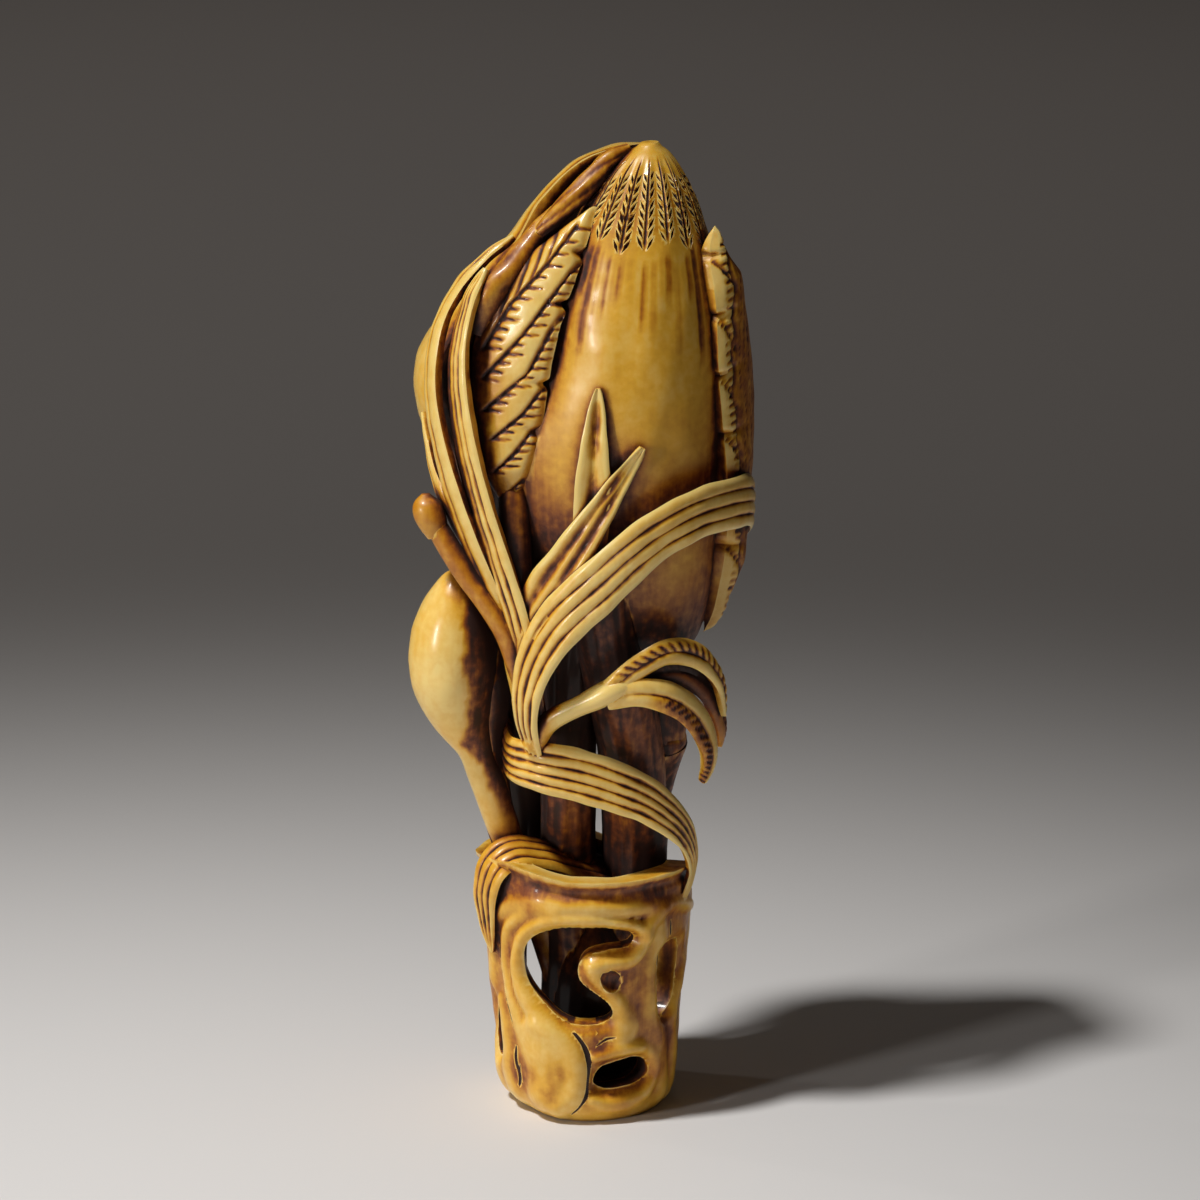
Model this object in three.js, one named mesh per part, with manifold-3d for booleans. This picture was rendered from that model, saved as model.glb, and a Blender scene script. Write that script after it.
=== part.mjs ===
// A carved ivory netsuke: a posy of one big flower bud, pinnate leaves, grass blades, a round pod and a fern
// frond, standing in an openwork vase shaped like a gnarled root. It is cut from one piece of ivory, so every
// form below is joined into one solid. Millimetres, +Z up, +Y to the back, origin at the middle of the foot.
import * as THREE from "three";
import { mergeVertices } from "three/addons/utils/BufferGeometryUtils.js";
import Module from "manifold-3d";

const wasm = await Module();
wasm.setup();

// ---- Driving dimensions ----
const HEIGHT = 74; // foot to the bud's tip
const VASE = { height: 19.8, foot: 6, rim: 7.6, wall: 1.4, floor: 2 };
const BUD = { bottom: 35, radius: 7.1, x: 3.3, y: -0.5, lean: 1.35, blunt: 0.27, pointed: 0.56, tip: 0.7 };
const BUD_LEFT = 0.6; // the share by which the bud's left side is fuller at the height of the blades
const HOOD = { y: 2.4, edge: 1.1, recess: 2.6, sweep: 250 };
const POD = { bottom: 28.6, top: 42.2, radius: 3.3, x: -9.8, y: -2 };
const FOOT_ROUND = 0.6; // how far the foot's edge is rounded off
const ROOT_SPREAD = 1.25; // a root's foot on the wall is wider than its back by this factor
const KNOB = { radius: 1.2, stretch: 1.35, place: [-11.5, -4.2, 46.9] };
const BLADE_THICK = 1.2;
const LEAF_THICK = 1.4;

const RAD = Math.PI / 180;
const at = (point) => new THREE.Vector3(...point);
const mix = THREE.MathUtils.lerp;
const { clamp, smoothstep } = THREE.MathUtils;
const curveThrough = (points, closed = false) =>
  new THREE.CatmullRomCurve3(points.map(at), closed, "catmullrom", 0.5);

// ---- Solids ----

// A closed skin over a stack of rings with the same number of points each, with a fan over either end.
function skin(rings) {
  const sides = rings[0].length;
  const positions = rings.flat().flatMap((p) => [p.x, p.y, p.z]);
  const index = [];
  for (let r = 0; r + 1 < rings.length; r++)
    for (let s = 0; s < sides; s++) {
      const a = r * sides + s;
      const b = r * sides + ((s + 1) % sides);
      index.push(a, b, a + sides, b, b + sides, a + sides);
    }
  for (const [ring, flip] of [[0, false], [rings.length - 1, true]]) {
    const middle = new THREE.Vector3();
    rings[ring].forEach((p) => middle.addScaledVector(p, 1 / sides));
    const hub = positions.push(middle.x, middle.y, middle.z) / 3 - 1;
    for (let s = 0; s < sides; s++) {
      const a = ring * sides + s;
      const b = ring * sides + ((s + 1) % sides);
      index.push(...(flip ? [hub, a, b] : [hub, b, a]));
    }
  }
  const geometry = new THREE.BufferGeometry();
  geometry.setAttribute("position", new THREE.Float32BufferAttribute(positions, 3));
  return geometry.setIndex(index);
}

// The geometry as a manifold solid, turned inside out where its faces point in.
function solid(geometry) {
  geometry.deleteAttribute("normal");
  geometry.deleteAttribute("uv");
  const merged = mergeVertices(geometry, 1e-4);
  const corner = (i) => new THREE.Vector3().fromBufferAttribute(merged.attributes.position, i);
  const triVerts = new Uint32Array(merged.index.array);
  let volume = 0;
  for (let i = 0; i < triVerts.length; i += 3) {
    const [a, b, c] = [0, 1, 2].map((k) => corner(triVerts[i + k]));
    volume += a.dot(b.cross(c));
  }
  if (volume < 0)
    for (let i = 0; i < triVerts.length; i += 3)
      [triVerts[i], triVerts[i + 1]] = [triVerts[i + 1], triVerts[i]];
  return new wasm.Manifold(
    new wasm.Mesh({ numProp: 3, vertProperties: merged.attributes.position.array, triVerts })
  );
}

// ---- The openwork vase ----

// Roots stand out of the wall along paths of [azimuth in degrees, height, half width].
// Azimuth 0 is the front and grows to the right.
const ROOTS = [
  // The loop that ends in a tongue, the nose, and the trunk beside it.
  { rise: 0.9, path: [[38, 16.2, 0.8], [8, 16.5, 0.9], [-24, 16.4, 1.0], [-43, 14, 1.1], [-42, 10.6, 1.3],
    [-33, 7.4, 1.9], [-22, 4.4, 2.9], [-20, 3, 3.0]] },
  { rise: 0.7, path: [[40, 14.6, 1.1], [20, 12.9, 1.1], [12, 12.1, 1.2], [22, 10.3, 1.2], [24, 8.4, 1.2]] },
  { rise: 0.6, path: [[46, 15.6, 1.2], [46, 11, 1.6], [50, 6, 1.5], [52, 1, 1.8]] },
  { rise: 0.6, path: [[-64, 17, 0.9], [-68, 11, 0.9], [-60, 5, 1.1], [-62, 0.5, 1.5]] },
  { rise: 0.6, path: [[-92, 16, 1.0], [-84, 10, 1.1], [-96, 4, 1.4], [-98, 0.5, 1.6]] },
  { rise: 0.6, path: [[-126, 17, 1.1], [-122, 11, 1.0], [-128, 6, 1.2], [-118, 1, 1.6]] },
  { rise: 0.6, path: [[112, 16.5, 1.1], [104, 10, 1.1], [96, 4, 1.3], [84, 1, 1.6]] },
  { rise: 0.7, path: [[178, 16.5, 1.1], [172, 12, 1.2], [182, 7, 1.5], [168, 2, 2.2]] },
  { rise: 0.8, path: [[140, 16.4, 0.9], [128, 13, 1.0], [124, 8, 1.2], [140, 5, 1.4], [160, 4, 1.2]] },
];
// Holes through the wall: a drilling direction and an outline of [sideways, height] seen along it.
const HOLES = [
  { azimuth: 0, outline: [[-4.6, 12.8], [-4.1, 14.9], [-1.4, 15.9], [1.4, 15.9], [3.5, 15.2], [3.3, 14.2],
    [1.2, 14.1], [-0.5, 13.2], [-0.2, 11.8], [1.2, 10.3], [2, 8.9], [0.8, 8.1], [-1.6, 8.3],
    [-3.6, 10.1]] },
  { azimuth: 24, outline: [[-2, 3.4], [-1.2, 4.6], [0.4, 5.3], [1.8, 4.8], [2.4, 3.6], [1.2, 2.7],
    [-1, 2.7]] },
  { azimuth: 72, outline: [[-3.2, 13], [-1.8, 13.6], [0.1, 13.2], [0.5, 11.6], [-0.1, 9.4], [-1.2, 7.9],
    [-2.7, 8.6]] },
  { azimuth: -146, outline: [[-2.6, 10.5], [-1.4, 13.2], [1, 13], [2.2, 9.6], [1.4, 6], [-1, 5.4]] },
  { azimuth: 156, outline: [[-2, 12], [0, 13.6], [1.6, 12.4], [1.6, 9.4], [0.4, 7.4], [-1.7, 8.4]] },
  { azimuth: -76, outline: [[-1, 7.6], [0, 9.2], [1, 7.4], [0.8, 4.6], [-0.5, 3.9]] },
];

// The rim is high at the left and low at the back: [azimuth, how far it stands above the vase's height].
const RIM_WAVE = [[-180, -1.2], [-140, -0.6], [-100, -0.5], [-70, 0.3], [-45, 0.7], [-10, -0.1],
  [62, -0.3], [84, -0.8], [104, -1.8], [128, -3.4], [150, -2.6], [180, -1.2]];

function rimWave(azimuth) {
  const turn = azimuth > 180 ? azimuth - 360 : azimuth;
  const next = Math.max(1, RIM_WAVE.findIndex(([a]) => a >= turn));
  const [[a0, w0], [a1, w1]] = [RIM_WAVE[next - 1], RIM_WAVE[next]];
  return mix(w0, w1, (turn - a0) / (a1 - a0));
}

// The wall flares up from the foot, whose edge is rounded off.
const vaseRadius = (z) =>
  mix(VASE.foot, VASE.rim, z / VASE.height) - FOOT_ROUND * Math.exp(-z / FOOT_ROUND);

// A smooth band round the wall, at a depth below the rim.
const band = (z, depth, height, width) =>
  height * Math.exp(-(((z - VASE.height + depth) / width) ** 2));

// How far the wall stands out at one place: the rounded back of the nearest root, or the rim's rolled lip.
function relief(azimuth, z) {
  let rise = Math.max(band(z, 1.1, 0.35, 0.9), band(z, 3.2, 0.4, 0.8));
  for (const root of ROOTS) {
    const along = 4 * root.path.length;
    const line = (root.line ??= curveThrough(root.path).getPoints(along));
    for (const p of line) {
      const sideways = (((azimuth - p.x + 540) % 360) - 180) * RAD * VASE.foot;
      const away = Math.hypot(sideways, z - p.y) / (ROOT_SPREAD * p.z);
      if (away < 1) rise = Math.max(rise, root.rise * Math.sqrt(1 - away * away));
    }
  }
  return rise;
}

const around = (azimuth, radius, z, x = 0, y = 0) =>
  new THREE.Vector3(x + radius * Math.sin(azimuth * RAD), y - radius * Math.cos(azimuth * RAD), z);

function vase() {
  const [sides, rows] = [40, 11];
  const ring = (z, radius, count) =>
    Array.from({ length: count }, (_, s) => around((s * 360) / count, radius((s * 360) / count), z));
  const levels = Array.from({ length: rows + 1 }, (_, r) => VASE.height * (r / rows) ** 0.95);
  const outside = levels.map((z) => ring(z, (azimuth) => vaseRadius(z) + relief(azimuth, z), sides));
  outside.forEach((points, r) => {
    const share = (r / rows) ** 6; // the wave is felt near the rim alone
    points.forEach((p, s) => (p.z += share * rimWave((s * 360) / sides)));
  });
  const inside = [VASE.floor, VASE.floor + 1, VASE.height / 2, VASE.height + 1].map((z) =>
    ring(z, () => vaseRadius(z) - VASE.wall, 24)
  );
  const holes = HOLES.map(({ azimuth, outline }) => {
    const edge = curveThrough(outline.map(([u, z]) => [u, z, 0]), true).getPoints(outline.length + 2);
    const shape = new THREE.Shape(edge.slice(1));
    const cutter = new THREE.ExtrudeGeometry(shape, { depth: 12, bevelEnabled: false });
    // The outline's second axis becomes Z, and the drilling direction points out of the vase.
    cutter.rotateX(Math.PI / 2).rotateZ(azimuth * RAD);
    return solid(cutter);
  });
  const wall = solid(skin(outside)).subtract(solid(skin(inside)));
  return holes.reduce((rest, hole) => rest.subtract(hole), wall);
}

// ---- Buds ----

// A bud stands on end: level rings about a leaning axis, with sin(pi u) to a power as its radius.
const swell = (u, blunt, pointed) => Math.sin(Math.PI * clamp(u, 0.004, 0.996)) ** mix(blunt, pointed, u);

function bigBud() {
  const [sides, rows, petals] = [36, 11, 12];
  const rings = Array.from({ length: rows + 1 }, (_, r) => {
    const u = 0.5 - 0.5 * Math.cos((Math.PI * r) / rows);
    const z = mix(BUD.bottom, HEIGHT, u);
    const x = BUD.x + BUD.lean * ((z - 54) / 20) ** 2;
    const radius = Math.max(BUD.tip, BUD.radius * swell(u, BUD.blunt, BUD.pointed));
    const left = BUD_LEFT * smoothstep(z, 33, 39) * (1 - smoothstep(z, 48, 60));
    const fold = 0.05 * smoothstep(u, 0.72, 0.9); // petal edges show near the tip
    return Array.from({ length: sides }, (_, s) => {
      const lobe = Math.abs(Math.sin((Math.PI * petals * s) / sides)) - 0.6;
      const azimuth = (s * 360) / sides;
      // An ellipse whose left half is wider than its right half.
      const sideways = Math.sin(azimuth * RAD) / (azimuth > 180 ? 1 + left : 1);
      const reach = (radius * (1 + fold * lobe)) / Math.hypot(sideways, Math.cos(azimuth * RAD));
      return around(azimuth, reach, z, x, BUD.y);
    });
  });
  return solid(skin(rings));
}

// The hood petal stands behind the big bud. Its silhouette leans over to the tip, and its front edge is
// undercut: each level ring runs round the back and returns inside the edge.
function hood() {
  // [x, z, radius] up the spine.
  const spine = curveThrough([[-2.5, 38, 1.6], [-4.6, 46, 4.6], [-6, 52.5, 6.2], [-6.3, 57, 6.3],
    [-5.3, 60.2, 5.6], [-3.6, 63.4, 4.6], [-1.6, 66.4, 4.1], [0.2, 69.4, 3.7], [1.7, 71.8, 2.8],
    [3.6, 73.2, 1.6]]);
  const rings = spine.getPoints(12).map(({ x, y: z, z: radius }) => {
    const front = mix(-34, -62, smoothstep(z, 60, 70));
    const outer = Array.from({ length: 11 }, (_, s) =>
      around(mix(front, front - HOOD.sweep, s / 10), radius, z, x, HOOD.y)
    );
    const lip = around(front + 2, Math.max(radius - HOOD.edge, 0.3), z, x, HOOD.y);
    const deep = around(front - 20, Math.max(radius - HOOD.recess, 0.2), z, x, HOOD.y);
    return [...outer, around(front + 60, 0.1 * radius, z, x, HOOD.y), deep, lip];
  });
  return solid(skin(rings));
}

function pod() {
  const [sides, rows] = [14, 8];
  const rings = Array.from({ length: rows + 1 }, (_, r) => {
    const u = 0.5 - 0.5 * Math.cos((Math.PI * r) / rows);
    const z = mix(POD.bottom, POD.top, u);
    return Array.from({ length: sides }, (_, s) =>
      around((s * 360) / sides, POD.radius * swell(u, 0.62, 0.55), z, POD.x + 0.8 * (u - 0.5) ** 2 * 4, POD.y)
    );
  });
  return solid(skin(rings));
}

// ---- Leaves ----

// A pinnate leaf is a sheet between a front edge and a back edge, bulging between them. The front edge is
// notched between its lobes, and slanting furrows part the leaflets.
const LEAVES = [
  { front: [[0.7, -3, 69.9], [-0.2, -4.6, 66.3], [-1.4, -5.2, 62.8], [-2.4, -5.5, 58.6],
    [-3.1, -5.5, 54.4], [-3.9, -5.5, 51], [-5.2, -4.9, 47.4]],
    back: [[0.4, -2.8, 69.8], [-4.4, -2.6, 65.8], [-7.3, -2.8, 62], [-8.6, -3.2, 57], [-8.2, -3.9, 51.8],
      [-6, -4.7, 47.2]],
    bulge: 0.7, lobes: 4, slant: 0.5, notch: 0.12 },
  { front: [[9.6, -3.1, 68.2], [9.1, -3.9, 66.2], [9.5, -4.3, 62.5], [9.7, -4.5, 58], [10, -4.4, 54],
    [10.4, -4, 49.5], [10.4, -3, 45], [9.7, -2, 39.4], [9, -1, 36.8]],
    back: [[9.7, -2.9, 68.3], [9.8, -1.8, 66.4], [10.5, 1.2, 63], [11.3, 3.5, 58], [11.3, 4, 51.6],
      [10.5, 3, 46], [9.8, 0.4, 40.4], [9.1, -0.8, 36.8]],
    bulge: 1.3, lobes: 6, slant: 0.25, notch: 0.1 },
  { front: [[5.2, 5.4, 68], [1, 7.2, 62], [0.4, 7.8, 55], [2, 7.6, 48], [4.4, 5.8, 41]],
    back: [[5.5, 5.2, 68.1], [8.4, 5.6, 62], [9.4, 5.4, 55], [8.4, 5.8, 48], [4.8, 5.6, 40.8]],
    bulge: 0.8, lobes: 5, slant: 0.4, notch: 0.1 },
];

function leaf({ front, back, bulge, lobes, slant, notch }) {
  const [across, along] = [5, 15];
  const [frontEdge, backEdge] = [front, back].map((points) => curveThrough(points));
  const rings = Array.from({ length: along + 1 }, (_, r) => {
    const t = mix(0.005, 0.995, r / along);
    const [a, b] = [frontEdge.getPoint(t), backEdge.getPoint(t)];
    const out = new THREE.Vector3().subVectors(b, a).cross(frontEdge.getTangent(t)).normalize();
    if (out.dot(new THREE.Vector3(a.x - BUD.x, a.y - BUD.y, 0)) < 0) out.negate();
    const wide = a.distanceTo(b);
    const top = Array.from({ length: across }, (_, c) => {
      const s = c / (across - 1);
      const step = (lobes * (t + slant * s * 0.5) + 10) % 1; // 0 to 1 along each leaflet
      const edge = notch * wide * (1 - s) * Math.max(0, 1 - Math.abs(step - 0.1) * 5);
      const furrow = 0.35 * Math.max(0, 1 - Math.abs(step - 0.1) * 6) * Math.min(1, wide / 3);
      return a.clone().lerp(b, s + edge / Math.max(wide, 1e-3))
        .addScaledVector(out, (bulge * 4 * s * (1 - s) + 0.3) * Math.min(1, wide / 4) - furrow);
    });
    const thick = LEAF_THICK * Math.min(1, 0.15 + wide / 4);
    const under = [0.85, 0.5, 0.15].map((s) => a.clone().lerp(b, s).addScaledVector(out, -thick));
    return [...top, ...under];
  });
  return solid(skin(rings));
}

// ---- Blades, stems and twigs ----

const bouquetAxis = (p) => new THREE.Vector3(1, 0, p.z);

// A strip along a curve that faces away from a core. Across it run ribs with a furrow between each two, and
// it tapers to a point at the end, or at both ends.
function blade({ path, width, ribs = 2, thick = BLADE_THICK, core = bouquetAxis, steps = 9, start = 0.8,
  cup = 0 }) {
  const line = curveThrough(path);
  const rings = Array.from({ length: steps + 1 }, (_, r) => {
    const t = r / steps;
    const [centre, forward] = [line.getPoint(t), line.getTangent(t)];
    const out = centre.clone().sub(core(centre));
    out.addScaledVector(forward, -out.dot(forward)).normalize();
    const side = new THREE.Vector3().crossVectors(forward, out);
    const body = mix(start, 1, Math.min(1, 4 * t)) * Math.min(1, Math.sqrt(2.2 * (1.02 - t)));
    const depth = thick * mix(0.4, 1, body);
    const place = (s, h) =>
      centre.clone().addScaledVector(side, (s * width * body) / 2).addScaledVector(out, h * depth);
    const top = Array.from({ length: 2 * ribs + 1 }, (_, c) => {
      const s = -1 + c / ribs;
      return place(s, (c % 2 ? 0.5 : 0.3) * Math.sqrt(1.05 - s * s) - cup * s * s);
    });
    return [...top, place(0.7, -0.4 - cup / 2), place(-0.7, -0.4 - cup / 2)];
  });
  return solid(skin(rings));
}

// A round stem along a curve, given as [x, y, z, radius] points.
function stem(path, sides = 8, steps = 5) {
  const line = curveThrough(path);
  const radii = curveThrough(path.map((p) => [p[3], 0, 0]));
  const { normals, binormals } = line.computeFrenetFrames(steps, false);
  const rings = Array.from({ length: steps + 1 }, (_, r) => {
    const [centre, radius] = [line.getPoint(r / steps), radii.getPoint(r / steps).x];
    return Array.from({ length: sides }, (_, s) => {
      const turn = (s * 2 * Math.PI) / sides;
      return centre.clone().addScaledVector(normals[r], radius * Math.cos(turn))
        .addScaledVector(binormals[r], radius * Math.sin(turn));
    });
  });
  return solid(skin(rings));
}

const BLADES = [
  // The broad blade crosses the front, folds over the right side and comes down the back into the vase.
  { path: [[-3.6, -5, 28], [-4.4, -6.9, 32], [-4, -7.6, 35.6], [-2.2, -8.2, 39.4], [1.2, -8.8, 43],
    [4.4, -8.8, 46], [7.8, -7.6, 47.8], [11, -4.6, 48], [12.1, -0.4, 46.8], [11, 4, 44], [8, 7, 40],
    [4.6, 7, 34], [3, 6.2, 26], [2.6, 6, 17]],
    width: 3.9, ribs: 3, steps: 17, start: 0.5 },
  // The strap ties the stems: from the right of the rim, over the front and round the left.
  { path: [[7.2, -2.8, 16.6], [7.9, -3, 18.8], [7.8, -3.8, 20.9], [6.9, -4.6, 23], [4.7, -5.6, 25.2],
    [2.2, -6.3, 26.6], [-0.6, -6.4, 27.6], [-3.6, -5.6, 28], [-5.7, -2.8, 28], [-5.6, 1.6, 29.6],
    [-3, 4.4, 32.4], [0.6, 5.6, 36]],
    width: 4.3, ribs: 4, steps: 14, start: 0.3 },
  { path: [[-3.8, -5, 30], [-4.8, -6.6, 37.2], [-3.2, -7.6, 41.4], [0, -8.4, 46.6], [4.1, -8.2, 53]],
    width: 3, ribs: 3 },
  { path: [[-0.6, -7, 42], [0.4, -8, 47], [0.6, -8.1, 51.6], [0.9, -7.7, 57.3]],
    width: 2.7, ribs: 2, steps: 8 },
  { path: [[-3.8, -5.2, 31], [-4.8, -6.4, 38], [-6.6, -6.2, 44.4], [-8, -5.8, 49.4], [-9, -5.2, 54.4],
    [-9.2, -4.6, 59.2], [-8.4, -4, 63], [-7.2, -3.6, 65.2]], width: 3.3, ribs: 3, steps: 12 },
  { path: [[-4.4, -4.8, 35], [-6.9, -5.4, 41.4], [-8.9, -5.2, 46.6], [-10.5, -4.4, 52],
    [-11.2, -3.6, 56.6], [-10.7, -3, 60.6], [-9.2, -2.4, 63.6], [-7.2, -2, 65.8],
    [-5.2, -1.6, 67.2]], width: 2.6, steps: 12 },
  { path: [[-5, -4.4, 38], [-7.6, -4.4, 43.4], [-9.5, -3.9, 46.6], [-11.1, -2.8, 49.8], [-11.9, -1.4, 54]],
    width: 2.2, steps: 8 },
  // At the back, two plain blades.
  { path: [[-2, 5.6, 17], [-3.4, 6, 26], [-5, 7, 38], [-5.6, 8.8, 50], [-3.6, 8.4, 60]],
    width: 3.4, steps: 7 },
  { path: [[-1, 5.6, 18], [-1.2, 6.4, 30], [-1.2, 7.4, 42], [0.4, 8, 52], [3.4, 7, 61]],
    width: 2.6, steps: 7 },
  // A leaf hooks over the rim at the left.
  { path: [[1.6, 0.6, 17.6], [-1.2, -1.2, 19], [-3.6, -2.8, 20.2], [-5.5, -3.8, 20.6], [-6.9, -4.2, 19.6],
    [-7.5, -4.1, 17.6], [-7.4, -3.7, 15],
    [-7, -3.3, 12.6]], width: 3.4, steps: 9, core: () => new THREE.Vector3(-2, 1.5, 13) },
];
// Leaflets of the fern frond, which curl over the right side.
const FROND = [
  { path: [[1.4, -7.6, 34.1], [3.6, -7.9, 36.2], [6, -7.4, 37.4], [8.2, -6, 36.6], [9.8, -4.8, 34.4],
    [10.3, -4, 31.4]],
    width: 2, steps: 8 },
  { path: [[2.6, -7, 34.4], [5.2, -6.6, 35.6], [7.4, -5.4, 35.2], [9.2, -3.8, 33.2], [10, -2.8, 30.4],
    [9.9, -2.2, 28.6]],
    width: 1.7, steps: 8 },
  { path: [[1.6, -7.6, 34], [4, -7.9, 34.4], [6.2, -7.4, 33.8], [7.9, -6.4, 32.2], [9, -5.6, 29.8],
    [9.1, -5.2, 28], [8.7, -5, 26.6]], width: 2.4, steps: 8 },
];
const STEMS = [
  [[-1.4, 1.6, 1, 2.1], [-1.4, 1.4, 12, 2.1], [-1.4, 0.4, 20, 2.1], [-1.3, -0.8, 28, 2.1],
    [-1, -2, 37, 2.1], [0, -2, 45, 2.1]],
  [[2.8, 2.6, 1, 2.5], [3.2, 2.2, 12, 2.5], [3.7, 0.8, 20, 2.5], [3.3, -1.4, 28, 2.5],
    [2.3, -3, 34, 2.5], [1.3, -4.3, 40, 2.5], [1, -4, 46, 2.5]],
  [[1.6, 4.2, 1, 1.6], [2.6, 4.2, 12, 1.7], [4.2, 3.4, 20, 1.7], [5.3, 1.6, 27.8, 2.1],
    [5.4, 1.2, 31, 2.4], [5.4, 0.6, 40, 2.6]],
  [[-4.4, 4, 17, 1.6], [-4.4, 2.8, 22, 1.8], [-4.8, 1.8, 32, 2.3], [-4.4, 2.2, 40, 2.4],
    [-4.6, 2.4, 46, 1.6]],
  // The pod's stem, and the stouter side of it next to the others.
  [[-1.6, 1.2, 6, 1], [-4.6, 0.2, 17, 1.15], [-5.9, -0.8, 20.6, 1.2], [-7.2, -1.5, 25, 1.3],
    [-9.2, -2, 31.4, 2.2]],
  [[-3, 1, 13, 0.9], [-6.2, -0.7, 21, 1.2], [-7.4, -1.2, 29.4, 1.5], [-7.5, -0.9, 34, 2.1],
    [-8.4, -1.5, 39.5, 1]],
  // The frond's stem, and the knob's.
  [[-4, -5.6, 29.6, 0.9], [-2.8, -6.5, 31.6, 0.75], [-0.7, -7.1, 33, 0.8], [2.4, -7.7, 34.8, 1]],
  [[-4.6, -5.6, 34.6, 0.9], [-6, -5.8, 38.6, 0.85], [-8.6, -5.2, 42.4, 0.85], [-11.2, -4.3, 46.4, 0.8]],
];

function knob() {
  const ball = new THREE.SphereGeometry(KNOB.radius, 8, 6);
  return solid(ball.scale(1, 1, KNOB.stretch).translate(...KNOB.place));
}

// ---- The netsuke ----

const strips = [...BLADES, ...FROND].map(blade);
const stems = STEMS.map((path) => stem(path));
const forms = [vase(), bigBud(), hood(), pod(), knob(), ...LEAVES.map(leaf), ...strips, ...stems];
const carving = forms.reduce((all, form) => all.add(form));
const cut = carving.getMesh();
const geometry = new THREE.BufferGeometry();
geometry.setAttribute("position", new THREE.Float32BufferAttribute(cut.vertProperties, cut.numProp));
geometry.setIndex(new THREE.BufferAttribute(cut.triVerts, 1));
// The foot stands on Z = 0, and the middle of the bounding box lies over the origin.
const middle = new THREE.Box3().setFromBufferAttribute(geometry.attributes.position).getCenter(at([0, 0, 0]));
geometry.translate(-middle.x, -middle.y, 0);
geometry.computeVertexNormals();

const ivory = new THREE.MeshStandardMaterial({ color: 0xd8b468, roughness: 0.35, metalness: 0 });
const netsuke = new THREE.Mesh(geometry, ivory);
netsuke.name = "netsuke";
const root = new THREE.Group();
root.add(netsuke);
export default root;
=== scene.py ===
# %% [markdown]
# # A netsuke carved from one piece of ivory
# A netsuke is the toggle that held a pouch on its cord at the sash. This one is a posy: a big bud with
# leaves, grass blades, a round pod and a fern frond, standing in a vase shaped like a gnarled root.
# The real one is a single piece of ivory, so the model ends as a single closed skin. Every form is first a
# surface of its own, worked out with numpy. A Boolean union then fuses them, which leaves the crisp creases
# of a carver's knife where two forms meet, and small cuts are taken away from the whole.

# %% The imported model
import math

import bpy
import numpy as np
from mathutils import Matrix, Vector


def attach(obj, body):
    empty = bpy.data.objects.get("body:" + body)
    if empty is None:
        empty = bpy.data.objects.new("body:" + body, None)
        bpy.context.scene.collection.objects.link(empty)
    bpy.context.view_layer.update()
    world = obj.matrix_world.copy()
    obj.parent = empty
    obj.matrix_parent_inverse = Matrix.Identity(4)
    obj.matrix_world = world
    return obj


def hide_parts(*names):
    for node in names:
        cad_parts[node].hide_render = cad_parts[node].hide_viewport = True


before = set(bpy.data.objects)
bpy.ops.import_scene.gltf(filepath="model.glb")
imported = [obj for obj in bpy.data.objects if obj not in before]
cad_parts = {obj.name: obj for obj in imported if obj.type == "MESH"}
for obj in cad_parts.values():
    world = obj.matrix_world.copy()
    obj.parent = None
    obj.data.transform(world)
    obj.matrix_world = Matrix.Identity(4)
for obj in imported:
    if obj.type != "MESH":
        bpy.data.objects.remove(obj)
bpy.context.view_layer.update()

# %% [markdown]
# ## Curves and surfaces
# The shapes are worked out in millimetres, because knife strokes are a fraction of one, and are turned to
# metres when they become a mesh. A spline through a few chosen points gives every stem and edge its line.
# No point of a surface is placed by hand: each surface is a formula on a grid.

# %% Curve helpers
MM = 0.001
# The posy's own axis stands this far from the middle of the whole carving's box.
AXIS_SHIFT = np.array([0.231, 0.013, 0.0])


def spline(points, t):
    """Uniform Catmull-Rom curve: each stretch between two points is the cubic that passes both with the
    slope of the chord between their neighbours. t runs from 0 to 1 over the whole curve."""
    p = np.asarray(points, float)
    p = np.vstack([2 * p[0] - p[1], p, 2 * p[-1] - p[-2]])
    s = np.clip(t, 0, 1) * (len(p) - 3)
    i = np.minimum(s.astype(int), len(p) - 4)
    w = (s - i)[:, None]
    a, b, c, d = p[i], p[i + 1], p[i + 2], p[i + 3]
    return 0.5 * (2 * b + (c - a) * w + (2 * a - 5 * b + 4 * c - d) * w**2 + (3 * b - a - 3 * c + d) * w**3)


def smoothstep(low, high, x):
    """0 below low, 1 above high, and an S-shaped rise between."""
    u = np.clip((x - low) / (high - low), 0, 1)
    return u * u * (3 - 2 * u)


def mix(a, b, w):
    """Straight blend from a to b."""
    return a + (b - a) * w


def unit(v):
    """Each vector divided by its length."""
    return v / np.linalg.norm(v, axis=-1, keepdims=True)


def bump(distance, width):
    """A smooth bell: 1 on the line, near 0 from twice the width on."""
    return np.exp(-((distance / width) ** 2))


# %% From a grid of points to a closed mesh
def placed(name, data):
    """A new object in the scene that shows the data."""
    made = bpy.data.objects.new(name, data)
    bpy.context.scene.collection.objects.link(made)
    return made


def new_piece(name, co, faces, stain, honey):
    """A mesh object from points in millimetres, with the float attributes stain and honey on them. In
    places the stain attribute holds painted shade as well as stain.
    """
    mesh = bpy.data.meshes.new(name)
    mesh.from_pydata(co * MM, [], faces)
    for label, values in (("stain", stain), ("honey", honey)):
        mesh.attributes.new(label, "FLOAT", "POINT").data.foreach_set("value", values.astype(np.float32))
    return placed(name, mesh)


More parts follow.
